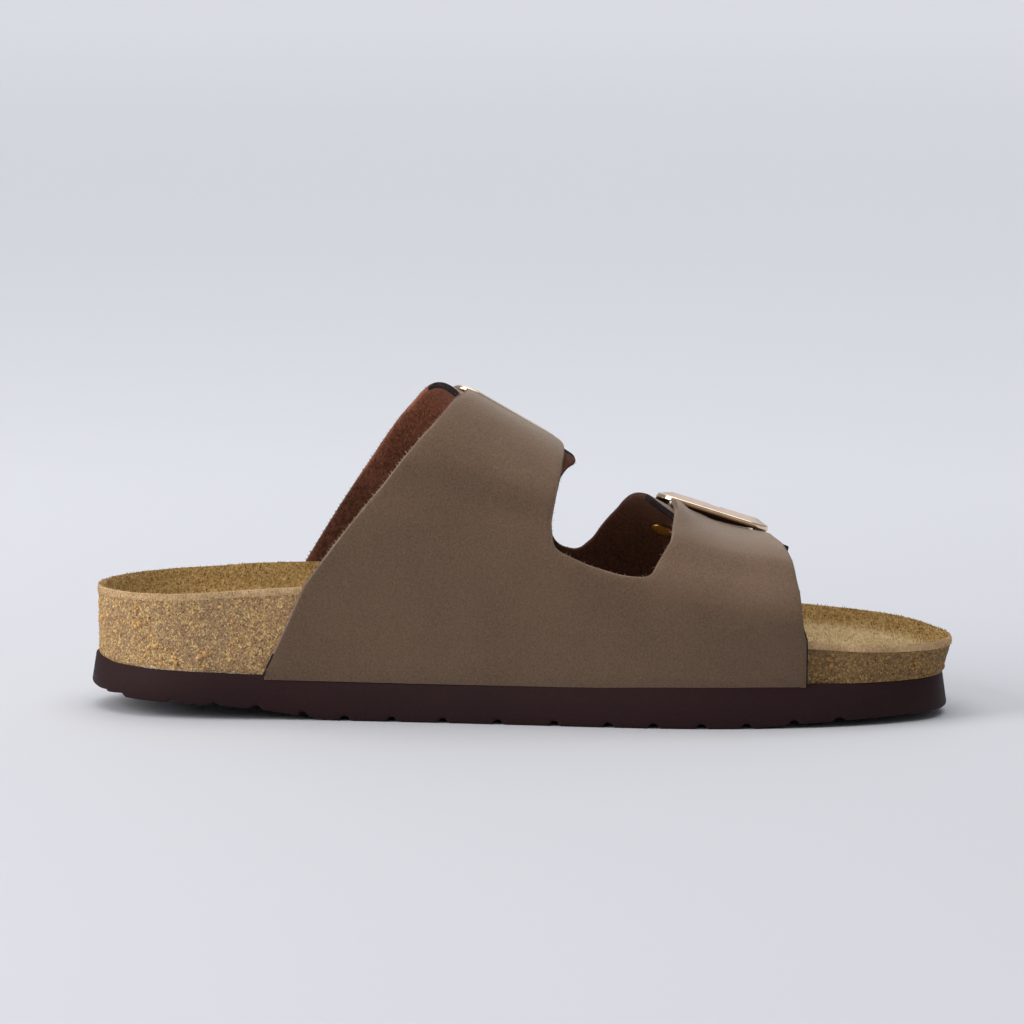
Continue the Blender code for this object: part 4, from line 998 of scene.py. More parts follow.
def strap_hole(buckle, across, near, far, half):
    """Loop of a round or long hole in a strap, in pattern places."""
    angles = np.linspace(0, 2 * math.pi, HOLE_STEPS, endpoint=False) + math.pi / HOLE_STEPS
    ends = np.where(np.sin(angles) > 0, far, near)
    return np.stack(strap_place(buckle, across + half * np.cos(angles), ends + half * np.sin(angles)), 1)


def leather_piece(name, corners, holes, lift_of, finishes, face_tones, edge_tones):
    """One leather piece with rounded cut edges; gives the pattern places and the run of its edge."""
    loops = [rounded_loop(corners, LEATHER_STEP)] + holes
    x = np.arange(*LEATHER_GRID_X, LEATHER_GRID)
    x, girth = np.meshgrid(x, np.arange(*LEATHER_GRID_GIRTH, LEATHER_GRID))
    x[::2] += LEATHER_GRID / 2
    spots = np.stack((x.ravel(), girth.ravel()), 1)
    spots = spots[inside(spots, loops[0])]
    for loop in loops:
        spots = spots[distance_to(spots, loop) > LEATHER_GRID_CLEAR]
    for hole in holes:
        spots = spots[~inside(spots, hole)]
    fold_x = np.arange(*FOLD_X, LEATHER_GRID)
    folds = [np.stack((fold_x, np.full(len(fold_x), row)), 1)
             for row in (-FOLD, 0.0, FOLD, END_GIRTH - FOLD, END_GIRTH, END_GIRTH + FOLD)]
    spots = np.concatenate([spots] + [fold[inside(fold, loops[0])] for fold in folds])
    flat, faces = pattern_mesh(loops, spots)
    edges, ids, inward = rim_of(flat, faces)
    lift = lift_of(flat)
    moved = flat + inward * EDGE_INSET
    seat, normal = last_seat(moved[:, 0], moved[:, 1])
    top = seat + normal * (lift + LEATHER)[:, None]
    below = seat + normal * lift[:, None]
    rings = []
    for inset, depth in EDGE_ROUND:
        near = flat[ids] + inward[ids] * inset
        at, away = last_seat(near[:, 0], near[:, 1])
        rings.append(at + away * (lift[ids] + LEATHER - depth)[:, None])
    shape = Shape()
    shape.shell(flat, faces, top, rings, below, (FACE, EDGE, LINING))
    along_edge = tone_at(flat[np.array(edges)].mean(1), edge_tones, EDGE)
    shape.tones[2 * len(faces):] = along_edge * (len(rings) + 1)
    shape.tones[:len(faces)] = tone_at(flat[faces].mean(1), face_tones, FACE)
    shape.piece(name, "upper", finishes)
    out = rings[1] - (top[ids] - normal[ids] * EDGE_ROUND[1][1])
    out /= np.linalg.norm(out, axis=1)[:, None]
    return flat[ids], rings[1], rings[2], out


def tone_at(places, boxes, usual):
    """Finish of each pattern place: the usual one, or that of the last box it lies in."""
    tones = np.full(len(places), usual)
    for rear, front, low, high, tone in boxes:
        tones[((places > (rear, low)) & (places < (front, high))).all(1)] = tone
    return tones.tolist()


def make_fringe(name, edge, rough_to, length, finish):
    """Loose fibres along a raw cut edge, thick on its rear run and sparse elsewhere, as one mesh."""
    places, high, low, out = edge
    chance = np.random.default_rng(SEED)
    girth = places[:, 1]
    rough = (places[:, 0] < rough_to) & (girth > FRINGE_GIRTH[0]) & (girth < FRINGE_GIRTH[1])
    at = np.repeat(np.arange(len(high)), chance.poisson(np.where(rough, *FRINGE_PER_POINT)))
    share = chance.random(len(at))[:, None]
    roots = high[at] * (1 - share) + low[at] * share + chance.normal(0, FRINGE_WANDER, (len(at), 3))
    leans = out[at] + chance.normal(0, FRINGE_SPREAD, (len(at), 3))
    shape = Shape()
    add_fibres(shape, roots, leans, length * chance.uniform(*FRINGE_LENGTHS, len(at)), FRINGE_WIDTH,
               np.zeros(len(at), int), chance)
    return shape.piece(name, "upper", [finish])


def frame_route():
    """Middle line of a buckle frame with the direction out of it, corner by corner."""
    reach = FRAME_HALF - FRAME_CORNER
    route = []
    for quarter in range(4):
        turn = np.linspace(quarter, quarter + 1, FRAME_CORNER_STEPS + 1) * math.pi / 2
        out = np.stack((np.cos(turn), np.sin(turn)), 1)
        corner = reach * np.sign(out[FRAME_CORNER_STEPS // 2])
        route += [(corner + FRAME_CORNER * away, away) for away in out]
        along = np.array((-out[-1][1], out[-1][0]))
        route += [(FRAME_HALF * out[-1] + place * reach * along, out[-1]) for place in FRAME_PLACES]
    return route


def bar_section(width, inside, outside):
    """Sideways places and heights round a bar with a sloped face and rolled edges, and its finishes."""
    half = width / 2
    turn = np.linspace(0, math.pi / 2, BAR_ROLL_STEPS)
    roll = [(BAR_ROLL * math.cos(a), BAR_ROLL * math.sin(a)) for a in turn]
    outer = [(half - BAR_ROLL + cos, outside - BAR_ROLL + sin) for cos, sin in roll]
    inner = [(BAR_ROLL - half - sin, inside - BAR_ROLL + cos) for cos, sin in roll]
    ledge = (NOTCH_EDGE, np.interp(NOTCH_EDGE, (inner[0][0], outer[-1][0]), (inside, outside)))
    foot = [(-half, 0.0), (half - BAR_FOOT, 0.0), (half, BAR_FOOT)]
    section = np.array(foot + outer + [ledge] + inner)
    tones = [SHADED] + [POLISHED] * 6 + [SATIN] * 3 + [POLISHED] * 4
    return section[:, 0], section[:, 1], tones


def make_buckle(buckle, finishes):
    """Plated frame with a satin face, polished edges, a notch for the prong and a hinge bar."""
    places, heights, tones = bar_section(BAR_WIDTH, BAR_INSIDE, BAR_OUTSIDE)
    notched = np.where(places < NOTCH_EDGE, np.minimum(heights, NOTCH_FLOOR), heights)
    shape = Shape()
    rings = []
    for (across, along), out in frame_route():
        at_prong = along < -FRAME_HALF + 1 and abs(across) < NOTCH_HALF + 0.05
        rise = BAR_SEAT + (notched if at_prong else heights)
        ring = on_frame(buckle, across + out[0] * places, along + out[1] * places, rise)
        ring[:1] = on_strap(buckle, across + out[0] * places[0], along + out[1] * places[0], BAR_SEAT)
        rings.append(ring)
    shape.loft(rings, True, tones)
    places, heights, _ = bar_section(HINGE_WIDTH, HINGE_HEIGHT, HINGE_HEIGHT)
    route = [(-across, rise) for across, rise in reversed(HINGE_ROUTE[1:])] + list(HINGE_ROUTE)
    rings = [on_strap(buckle, np.full(len(places), across), places, HINGE_SEAT + rise + heights)
             for across, rise in route]
    shape.loft(rings, False, (POLISHED,))
    return shape.piece("frame_" + buckle[0], "buckle_" + buckle[0], finishes)


def make_prong(buckle, finish):
    """Oval pin from the hinge, up through the strap and into the notch of the inner bar."""
    coarse = np.array(PRONG_ROUTE)
    share = np.linspace(0, len(coarse) - 1, PRONG_STEPS)
    at = np.arange(len(coarse))
    route = np.stack([smooth_through(at, coarse[:, axis], share) for axis in (0, 1)], 1)
    run = np.gradient(route, axis=0)
    run /= np.linalg.norm(run, axis=1)[:, None]
    angles = np.linspace(0, 2 * math.pi, PRONG_SIDES, endpoint=False)
    rings = []
    for i, ((along, height), (run_along, run_height)) in enumerate(zip(route, run)):
        past = max(0, i - PRONG_TIP_FROM) / PRONG_TIP_STEPS
        tip = math.sqrt(max(PRONG_TIP_LEAST, 1 - past ** 2))
        across = PRONG_WIDTH / 2 * tip * np.cos(angles)
        thick = PRONG_HEIGHT / 2 * tip * np.sin(angles)
        places = along - run_height * thick
        heights = height + run_along * thick
        straight = ease(-along, *PRONG_STRAIGHT)
        bent = on_strap(buckle, across, places, heights) * (1 - straight)
        rings.append(bent + on_frame(buckle, across, places, heights) * straight)
    shape = Shape()
    shape.loft(rings, False, (0,))
    return shape.piece("pin_" + buckle[0], "prong_" + buckle[0], [finish])


def make_rivet(buckle, end, side, finish):
    """Rivet under one side bar of a frame, its domed head inside the strap."""
    base = on_strap(buckle, side * RIVET_ACROSS, RIVET_ALONG, 0.0)[0]
    axis = on_strap(buckle, side * RIVET_ACROSS, RIVET_ALONG, 1.0)[0] - base
    sideways = np.cross(axis, (0.0, 0.0, 1.0))
    sideways /= np.linalg.norm(sideways)
    upward = np.cross(axis, sideways)
    angles = np.linspace(0, 2 * math.pi, RIVET_SIDES, endpoint=False)
    spokes = np.outer(np.cos(angles), sideways) + np.outer(np.sin(angles), upward)
    dome = RIVET_HEAD_HEIGHT - RIVET_RIM
    outline = [(RIVET_HEAD * math.sin(a), -RIVET_SEAT - RIVET_RIM - dome * math.cos(a))
               for a in np.linspace(*RIVET_DOME)]
    outline += [(RIVET_HEAD, -RIVET_SEAT + RIVET_BACK[0]), (RIVET_STEM, -RIVET_SEAT + RIVET_BACK[1]),
                (RIVET_STEM, BAR_SEAT)]
    rings = [base + spokes * radius + axis * height for radius, height in outline]
    shape = Shape()
    shape.loft(rings, False, (0,))
    place = buckle[0] + "_" + end
    return shape.piece("stud_" + place, "rivet_" + place, [finish])


def put(tree, kind, inputs=None, **settings):
    """Adds a node, sets it up, and feeds its sockets with values or with other nodes' outputs."""
    node = tree.nodes.new(kind)
    for name, value in settings.items():
        setattr(node, name, value)
    for key, value in (inputs or {}).items():
        if isinstance(value, bpy.types.NodeSocket):
            tree.links.new(value, node.inputs[key])
        else:
            node.inputs[key].default_value = value
    return node


def blend_colours(tree, share, first, second, mode="MIX"):
    """Mix of two colours by a share."""
    sockets = {0: share, 6: first, 7: second}
    return put(tree, "ShaderNodeMix", sockets, data_type="RGBA", blend_type=mode).outputs[2]


def sum_up(tree, operation, first, second):
    """One sum on two values."""
    return put(tree, "ShaderNodeMath", {0: first, 1: second}, operation=operation).outputs[0]


def vector_sum(tree, operation, first, second, result=0):
    """One sum on two places or directions."""
    return put(tree, "ShaderNodeVectorMath", {0: first, 1: second}, operation=operation).outputs[result]


def place_on(tree):
    """Place on the surface, in metres in the sandal's frame."""
    return put(tree, "ShaderNodeTexCoord").outputs["Object"]


def cloud_at(tree, place, scale, detail, result=0):
    """Soft noise at a place."""
    sockets = {"Vector": place, "Scale": scale, "Detail": detail}
    return put(tree, "ShaderNodeTexNoise", sockets).outputs[result]


def weighed(tree, first, first_share, second, second_share):
    """Sum of two values, each by its own share."""
    return sum_up(tree, "ADD", sum_up(tree, "MULTIPLY", first, first_share),
                  sum_up(tree, "MULTIPLY", second, second_share))


def remap(tree, value, low, high, to_low=0.0, to_high=1.0):
    """Value moved from one range to another, held at its ends."""
    steps = {"Value": value, "From Min": low, "From Max": high, "To Min": to_low, "To Max": to_high}
    return put(tree, "ShaderNodeMapRange", steps, interpolation_type="SMOOTHSTEP").outputs["Result"]


def new_group(name, inputs, outputs):
    """Shader node group with named sockets: its tree, its input node and its output node."""
    group = bpy.data.node_groups.new(name, "ShaderNodeTree")
    for label, kind, value in inputs:
        socket = group.interface.new_socket(label, in_out="INPUT", socket_type=kind)
        socket.default_value = value
    for label, kind in outputs:
        group.interface.new_socket(label, in_out="OUTPUT", socket_type=kind)
    return group, put(group, "NodeGroupInput"), put(group, "NodeGroupOutput")


COLOUR = "NodeSocketColor"
VALUE = "NodeSocketFloat"
POINT = "NodeSocketVector"

# Depths in metres of the small bumps, and how the fine parts of a finish follow from the coarse ones
NAP_DEPTH = 0.0004
GRAIN_DEPTH = 0.0005
PLATING_DEPTH = 0.0001
PLATING_BUMP = 0.05
PLATING_WORN = 0.86
SPECKS_TO_FIBRES = 2.6
SCRATCH_SWAY = (0.0025, 0.0025, 0.0025)
# pale suede colours of the toe floor's painted light
LIT_FLOOR_SUEDE = ((0.50, 0.355, 0.175), (0.74, 0.555, 0.305))


def nap_group():
    """Napped surface: cloudy patches, brushed fibres and fine specks between two shades."""
    group, given, result = new_group("napped_surface", (
        ("Deep", COLOUR, (0.1, 0.1, 0.1, 1)), ("Raised", COLOUR, (0.2, 0.2, 0.2, 1)),
        ("Patch Scale", VALUE, 45.0), ("Fibre Scale", VALUE, 900.0), ("Speck Scale", VALUE, 2600.0),
        ("Patch Share", VALUE, 0.35), ("Fibre Stretch", POINT, (1.0, 1.0, 1.0)),
    ), (("Colour", COLOUR), ("Height", VALUE), ("Patch", VALUE)))
    place = place_on(group)
    brushed = vector_sum(group, "MULTIPLY", place, given.outputs["Fibre Stretch"])
    patch = remap(group, cloud_at(group, place, given.outputs["Patch Scale"], 4.0), 0.3, 0.7)
    fibre = remap(group, cloud_at(group, brushed, given.outputs["Fibre Scale"], 3.0), 0.28, 0.72)
    speck = remap(group, cloud_at(group, place, given.outputs["Speck Scale"], 2.0), 0.3, 0.7)
    fine = weighed(group, fibre, 0.55, speck, 0.45)
    sockets = {0: given.outputs["Patch Share"], 2: fine, 3: patch}
    share = put(group, "ShaderNodeMix", sockets, data_type="FLOAT").outputs[0]
    colour = blend_colours(group, share, given.outputs["Deep"], given.outputs["Raised"])
    for label, socket in (("Colour", colour), ("Height", fine), ("Patch", patch)):
        group.links.new(socket, result.inputs[label])
    return group


def line_group():
    """Mask of one thin scratch between two points of the surface."""
    group, given, result = new_group("scratch_line", (
        ("From", POINT, (0.0, 0.0, 0.0)), ("To", POINT, (0.0, 0.0, 0.0)), ("Width", VALUE, 0.0003),
    ), (("Mask", VALUE),))
    place = place_on(group)
    shift = vector_sum(group, "SUBTRACT", cloud_at(group, place, 260.0, 2.0, "Color"), (0.5, 0.5, 0.5))
    sockets = {0: shift, 1: SCRATCH_SWAY, 2: place}
    bent = put(group, "ShaderNodeVectorMath", sockets, operation="MULTIPLY_ADD").outputs[0]
    run = vector_sum(group, "SUBTRACT", given.outputs["To"], given.outputs["From"])
    away = vector_sum(group, "SUBTRACT", bent, given.outputs["From"])
    dot = vector_sum(group, "DOT_PRODUCT", away, run, "Value")
    size = vector_sum(group, "DOT_PRODUCT", run, run, "Value")
    along = put(group, "ShaderNodeMath", {0: dot, 1: size}, operation="DIVIDE", use_clamp=True).outputs[0]
    foot = put(group, "ShaderNodeVectorMath", {0: run, "Scale": along}, operation="SCALE").outputs[0]
    off = vector_sum(group, "DISTANCE", away, foot, "Value")
    group.links.new(remap(group, off, given.outputs["Width"], 0.0), result.inputs["Mask"])
    return group


def cork_group():
    """Pressed cork: fine granules in five browns, with golden flecks and dark pits."""
    shades = ("Pit", "Low", "Middle", "High", "Bright", "Fleck")
    group, given, result = new_group("cork_grain", [(label, COLOUR, (0.5, 0.3, 0.15, 1)) for label in shades],
                                     (("Colour", COLOUR), ("Height", VALUE)))
    place = place_on(group)
    grain = put(group, "ShaderNodeTexVoronoi", {"Vector": place, "Scale": 2100.0})
    coarse = put(group, "ShaderNodeTexVoronoi", {"Vector": place, "Scale": 950.0})
    cloud = cloud_at(group, place, 70.0, 3.0)
    tone = put(group, "ShaderNodeSeparateColor", {"Color": grain.outputs["Color"]})
    patch = put(group, "ShaderNodeSeparateColor", {"Color": coarse.outputs["Color"]})
    share = weighed(group, tone.outputs[0], 0.72, patch.outputs[0], 0.28)
    colour = given.outputs["Pit"]
    steps = (("Low", 0.05, 0.2), ("Middle", 0.2, 0.5), ("High", 0.5, 0.78), ("Bright", 0.78, 0.97))
    for label, low, high in steps:
        colour = blend_colours(group, remap(group, share, low, high), colour, given.outputs[label])
    grey = remap(group, cloud, 0.42, 0.66, 0.0, 0.4)
    colour = blend_colours(group, grey, colour, (0.42, 0.264, 0.158, 1))
    fleck = remap(group, tone.outputs[2], 0.86, 0.92, 0.0, 0.8)
    colour = blend_colours(group, fleck, colour, given.outputs["Fleck"])
    pit = remap(group, tone.outputs[2], 0.08, 0.04, 0.0, 0.4)
    colour = blend_colours(group, pit, colour, given.outputs["Pit"])
    round_top = remap(group, grain.outputs["Distance"], 0.55, 0.1, 0.0, 0.6)
    height = weighed(group, tone.outputs[1], 0.5, patch.outputs[1], 0.6)
    group.links.new(colour, result.inputs["Colour"])
    group.links.new(sum_up(group, "ADD", height, round_top), result.inputs["Height"])
    return group


def place_shade_group():
    """Colour that takes on a shade from one height or length of the shoe to another."""
    group, given, result = new_group("shade_by_place", (
        ("Colour", COLOUR, (0.5, 0.5, 0.5, 1)), ("Shade", COLOUR, (1.0, 1.0, 1.0, 1)),
        ("Direction", POINT, (1.0, 0.0, 0.0)), ("From", VALUE, 0.0), ("To", VALUE, 0.1),
    ), (("Colour", COLOUR),))
    along = vector_sum(group, "DOT_PRODUCT", place_on(group), given.outputs["Direction"], "Value")
    share = remap(group, along, given.outputs["From"], given.outputs["To"])
    colour = blend_colours(group, share, given.outputs["Colour"], given.outputs["Shade"], "MULTIPLY")
    group.links.new(colour, result.inputs["Colour"])
    return group


def plating_group():
    """Plated metal: fine and wide wear in its colour, gloss and height."""
    group, given, result = new_group("plating_wear", (
        ("Bright", COLOUR, (0.9, 0.7, 0.55, 1)), ("Worn", COLOUR, (0.75, 0.6, 0.5, 1)),
        ("Gloss Low", VALUE, 0.1), ("Gloss High", VALUE, 0.2), ("Grain", VALUE, 900.0),
    ), (("Colour", COLOUR), ("Roughness", VALUE), ("Height", VALUE)))
    place = place_on(group)
    fine = cloud_at(group, place, given.outputs["Grain"], 3.0)
    wide = cloud_at(group, place, 120.0, 2.0)
    worn = weighed(group, fine, 0.6, wide, 0.4)
    rough = remap(group, worn, 0.3, 0.7, given.outputs["Gloss Low"], given.outputs["Gloss High"])
    dull = remap(group, wide, 0.4, 0.75)
    colour = blend_colours(group, dull, given.outputs["Bright"], given.outputs["Worn"])
    for label, socket in (("Colour", colour), ("Roughness", rough), ("Height", fine)):
        group.links.new(socket, result.inputs[label])
    return group


NAP = nap_group()
SCRATCH = line_group()
CORK_GRAIN = cork_group()
PLACE_SHADE = place_shade_group()
PLATING = plating_group()


def new_finish(name, **constants):
    """Material with its shader, and the plain values of that shader."""
    finish = bpy.data.materials.new(name)
    finish.use_nodes = True
    tree = finish.node_tree
    shader = tree.nodes["Principled BSDF"]
    for label, value in constants.items():
        shader.inputs[label.replace("_", " ")].default_value = value
    return finish, tree, shader


def lift_bumps(tree, shader, height, strength, depth):
    """Feeds a height into the shader as small bumps."""
    bump = put(tree, "ShaderNodeBump", {"Strength": strength, "Distance": depth, "Height": height})
    tree.links.new(bump.outputs[0], shader.inputs["Normal"])


def napped(name, deep, raised_shade, patch_scale, fibre_scale, patch_share, bump, stretch=(1.0, 1.0, 1.0),
           **constants):
    """Finish of a napped surface: its material, tree, shader, and group of patches and fibres."""
    finish, tree, shader = new_finish(name, **constants)
    nap = put(tree, "ShaderNodeGroup", {
        "Deep": (*deep, 1), "Raised": (*raised_shade, 1), "Patch Scale": patch_scale,
        "Fibre Scale": fibre_scale, "Speck Scale": fibre_scale * SPECKS_TO_FIBRES, "Patch Share": patch_share,
        "Fibre Stretch": stretch,
    }, node_tree=NAP)
    tree.links.new(nap.outputs["Colour"], shader.inputs["Base Color"])
    lift_bumps(tree, shader, nap.outputs["Height"], bump, NAP_DEPTH)
    return finish, tree, shader, nap


def nubuck_finish():
    """Taupe nubuck of the leather's face, with painted light that makes it paler where it looks up, and light
    scratches.
    """
    finish, tree, shader, nap = napped(
        "taupe_nubuck", (0.091, 0.053, 0.031), (0.182, 0.113, 0.071), patch_scale=38.0, fibre_scale=1650.0,
        patch_share=0.2, bump=0.3, Roughness=0.82, Sheen_Weight=0.8, Sheen_Roughness=0.46,
        Sheen_Tint=(0.88, 0.75, 0.64, 1), Specular_IOR_Level=0.22)
    # painted light: where the surface turns upward the nubuck's colour is made brighter, up to 1.36 times, as
    # the overhead light falls on it
    normal = put(tree, "ShaderNodeNewGeometry").outputs["Normal"]
    upward = remap(tree, put(tree, "ShaderNodeSeparateXYZ", {"Vector": normal}).outputs[2], 0.1, 0.6)
    colour = blend_colours(tree, upward, nap.outputs["Colour"], (1.36, 1.35, 1.34, 1), "MULTIPLY")
    for x0, girth0, x1, girth1, width, strength in SCRATCHES:
        lift = inner_lift(np.array(((x0, girth0), (x1, girth1)))) + LEATHER
        start, end = (raised((x0, x1), (girth0, girth1), lift) + STAND) * MM
        sockets = {"From": start, "To": end, "Width": width * MM}
        line = put(tree, "ShaderNodeGroup", sockets, node_tree=SCRATCH)
        share = sum_up(tree, "MULTIPLY", line.outputs["Mask"], strength)
        colour = blend_colours(tree, share, colour, (0.30, 0.215, 0.155, 1))
    tree.links.new(colour, shader.inputs["Base Color"])
    return finish


def shaded(tree, colour, shade, direction, start, end):
    """Colour with a shade that comes in along one direction of the shoe."""
    return put(tree, "ShaderNodeGroup", {
        "Colour": colour, "Shade": (*shade, 1), "Direction": direction, "From": start, "To": end,
    }, node_tree=PLACE_SHADE).outputs["Colour"]


def lining_finish():
    """Red-brown rough side of the leather, with painted shade that darkens it under the toe strap and painted
    light that brightens it to the top.
    """
    finish, tree, shader, nap = napped(
        "red_brown_lining", (0.040, 0.0150, 0.0090), (0.238, 0.098, 0.062), patch_scale=70.0,
        fibre_scale=900.0, patch_share=0.25, bump=0.8, Roughness=0.95, Sheen_Weight=0.3, Sheen_Roughness=0.5,
        Sheen_Tint=(0.66, 0.36, 0.26, 1), Specular_IOR_Level=0.1)
    # painted shade: the lining darkens from the front of the instep strap forward, under the toe strap and on
    # the far strap's corner
    colour = shaded(tree, nap.outputs["Colour"], (0.36, 0.34, 0.34), (1, 0, 0), -0.014, 0.006)
    # painted light: the lining brightens towards the top of the straps
    colour = shaded(tree, colour, (1.9, 1.8, 1.75), (0, 0, 1), 0.05, 0.095)
    tree.links.new(colour, shader.inputs["Base Color"])
    return finish


def suede_finish():
    """Golden suede of the bed, with painted light that makes its flat toe floor paler."""
    finish, tree, shader, nap = napped(
        "golden_suede", (0.215, 0.110, 0.028), (0.66, 0.435, 0.170), patch_scale=50.0, fibre_scale=1000.0,
        patch_share=0.2, bump=0.9, stretch=(1.0, 0.3, 1.0), Roughness=0.96, Sheen_Weight=0.25,
        Sheen_Roughness=0.5, Sheen_Tint=(0.9, 0.72, 0.42, 1), Specular_IOR_Level=0.1)
    # painted light: a pale nap is laid over the flat toe floor by the worn attribute
    deep, pale = LIT_FLOOR_SUEDE
    worn = put(tree, "ShaderNodeGroup", {"Deep": (*deep, 1), "Raised": (*pale, 1)}, node_tree=NAP)
    share = put(tree, "ShaderNodeAttribute", attribute_name="worn").outputs["Fac"]
    colour = blend_colours(tree, share, nap.outputs["Colour"], worn.outputs["Colour"])
    tree.links.new(colour, shader.inputs["Base Color"])
    return finish


def cork_finish(name, pit, low, middle, high, bright, fleck, bump):
    """Pressed cork, greyer and paler at the heel, darker and golden at the toe."""
    finish, tree, shader = new_finish(name, Roughness=0.7, Specular_IOR_Level=0.3)
    grain = put(tree, "ShaderNodeGroup", {
        "Pit": (*pit, 1), "Low": (*low, 1), "Middle": (*middle, 1), "High": (*high, 1),
        "Bright": (*bright, 1), "Fleck": (*fleck, 1),
    }, node_tree=CORK_GRAIN)
    colour = shaded(tree, grain.outputs["Colour"], (0.56, 0.515, 0.40), (1, 0, 0), -0.07, 0.10)
    tree.links.new(colour, shader.inputs["Base Color"])
    lift_bumps(tree, shader, grain.outputs["Height"], bump, GRAIN_DEPTH)
    return finish


def rubber_finish():
    """Dark brown foamed rubber with fine pores and an uneven gloss."""
    finish, tree, shader, nap = napped(
        "brown_rubber", (0.021, 0.0080, 0.0087), (0.035, 0.0138, 0.0148), patch_scale=30.0,
        fibre_scale=1400.0, patch_share=0.4, bump=0.22, Specular_IOR_Level=0.14)
    rough = remap(tree, nap.outputs["Patch"], 0.0, 1.0, 0.54, 0.72)
    tree.links.new(rough, shader.inputs["Roughness"])
    return finish


def plated_finish(name, colour, low, high, grain):
    """Plated metal with fine wear in its gloss."""
    finish, tree, shader = new_finish(name, Metallic=1.0)
    worn = tuple(value * PLATING_WORN for value in colour)
    wear = put(tree, "ShaderNodeGroup", {
        "Bright": (*colour, 1), "Worn": (*worn, 1), "Gloss Low": low, "Gloss High": high, "Grain": grain,
    }, node_tree=PLATING)
    tree.links.new(wear.outputs["Colour"], shader.inputs["Base Color"])
    tree.links.new(wear.outputs["Roughness"], shader.inputs["Roughness"])
    lift_bumps(tree, shader, wear.outputs["Height"], PLATING_BUMP, PLATING_DEPTH)
    return finish


def build_bed():
    """Makes the sole, the cork and the suede over it."""
    make_outsole(rubber_finish())
    suede_edge, *_ = napped(
        "suede_cut_edge", (0.45, 0.265, 0.112), (1.0, 0.72, 0.42), patch_scale=130.0, fibre_scale=1500.0,
        patch_share=0.25, bump=0.8, Roughness=0.95, Specular_IOR_Level=0.12)
    # the last pile finish is the pale toe floor of painted light
    pile = [napped(label, deep, pale, patch_scale=60.0, fibre_scale=1400.0, patch_share=0.4, bump=0.3,
                   Roughness=0.95, Specular_IOR_Level=0.08)[0]
            for label, deep, pale in (("pile_golden", (0.34, 0.190, 0.052), (0.60, 0.380, 0.130)),
                                      ("pile_pale", (0.56, 0.38, 0.150), (0.82, 0.60, 0.30)),
                                      ("pile_dark", (0.13, 0.065, 0.016), (0.24, 0.13, 0.036)),
                                      ("lit_toe_floor", *LIT_FLOOR_SUEDE))]
    cork = cork_finish("pressed_cork", (0.16, 0.086, 0.038), (0.37, 0.218, 0.110), (0.49, 0.296, 0.146),
                       (0.64, 0.400, 0.160), (0.84, 0.60, 0.25), (0.95, 0.68, 0.27), 0.9)
    lumps = cork_finish("cork_lumps", (0.42, 0.205, 0.072), (0.62, 0.325, 0.115), (0.70, 0.380, 0.138),
                        (0.78, 0.460, 0.178), (0.95, 0.66, 0.30), (0.95, 0.66, 0.30), 0.4)
    glue, *_ = napped("glue_traces", (0.14, 0.12, 0.12), (0.46, 0.44, 0.46), patch_scale=300.0,
                      fibre_scale=1600.0, patch_share=0.5, bump=0.2, Roughness=0.6)
    flat, faces = bed_pattern()
    make_cork(flat, faces, [cork, lumps, glue])
    make_liner(flat, faces, [suede_finish(), suede_edge] + pile)


def build_upper():
    """Makes the inner and outer leather with their fringes."""
    nubuck = nubuck_finish()
    lining = lining_finish()
    cut_edge, *_ = napped(
        "raw_cut_edge", (0.12, 0.076, 0.052), (0.34, 0.250, 0.190), patch_scale=160.0, fibre_scale=1800.0,
        patch_share=0.4, bump=0.5, Roughness=0.9, Specular_IOR_Level=0.2)
    dyed_edge, *_ = napped(
        "dyed_edge", (0.005, 0.0032, 0.0034), (0.036, 0.023, 0.024), patch_scale=160.0, fibre_scale=1100.0,
        patch_share=0.3, bump=0.9, Roughness=0.85, Specular_IOR_Level=0.12)
    loose_fibres, *_ = napped(
        "loose_fibres", (0.24, 0.155, 0.110), (0.60, 0.450, 0.360), patch_scale=400.0, fibre_scale=1500.0,
        patch_share=0.5, bump=0.2, Roughness=0.9, Specular_IOR_Level=0.1)
    near = PRONG_SLOT[0] + PRONG_SLOT_HALF
    far = PRONG_SLOT[1] - PRONG_SLOT_HALF
    inner_holes = []
    outer_holes = []
    for buckle in BUCKLES:
        inner_holes.append(strap_hole(buckle, 0.0, near, far, PRONG_SLOT_HALF))
        inner_holes += [strap_hole(buckle, 0.0, place, place, SPARE_HOLE_RADIUS) for place in SPARE_HOLES]
        outer_holes += [strap_hole(buckle, side * RIVET_ACROSS, RIVET_ALONG, RIVET_ALONG, RIVET_HOLE)
                        for side in (-1, 1)]
    edge = leather_piece("inner_leather", INNER_PATTERN, inner_holes, inner_lift,
                         [nubuck, cut_edge, lining, dyed_edge], (), INNER_EDGES)
    make_fringe("inner_fringe", edge, *INNER_FRINGE, loose_fibres)
    edge = leather_piece("outer_leather", OUTER_PATTERN, outer_holes, slack,
                         [nubuck, dyed_edge, lining], CORNER_TONES, OUTER_EDGES)
    make_fringe("outer_fringe", edge, *OUTER_FRINGE, lining)


def build_buckles():
    """Makes both buckles with their pins and rivets."""
    satin = plated_finish("satin_rose_gold", (0.83, 0.63, 0.515), 0.30, 0.40, 2500.0)
    polished = plated_finish("polished_rose_gold", (0.94, 0.72, 0.50), 0.10, 0.20, 900.0)
    # painted shade: the bar's underside is given a dark plating colour for the shade between the frame and the
    # strap
    underside = plated_finish("bar_underside_painted_shade", (0.20, 0.13, 0.10), 0.5, 0.7, 900.0)
    brass = plated_finish("rivet_brass", (0.38, 0.22, 0.082), 0.22, 0.36, 700.0)
    for buckle in BUCKLES:
        make_buckle(buckle, [satin, polished, underside])
        make_prong(buckle, polished)
        make_rivet(buckle, "rear", -1, brass)
        make_rivet(buckle, "front", 1, brass)


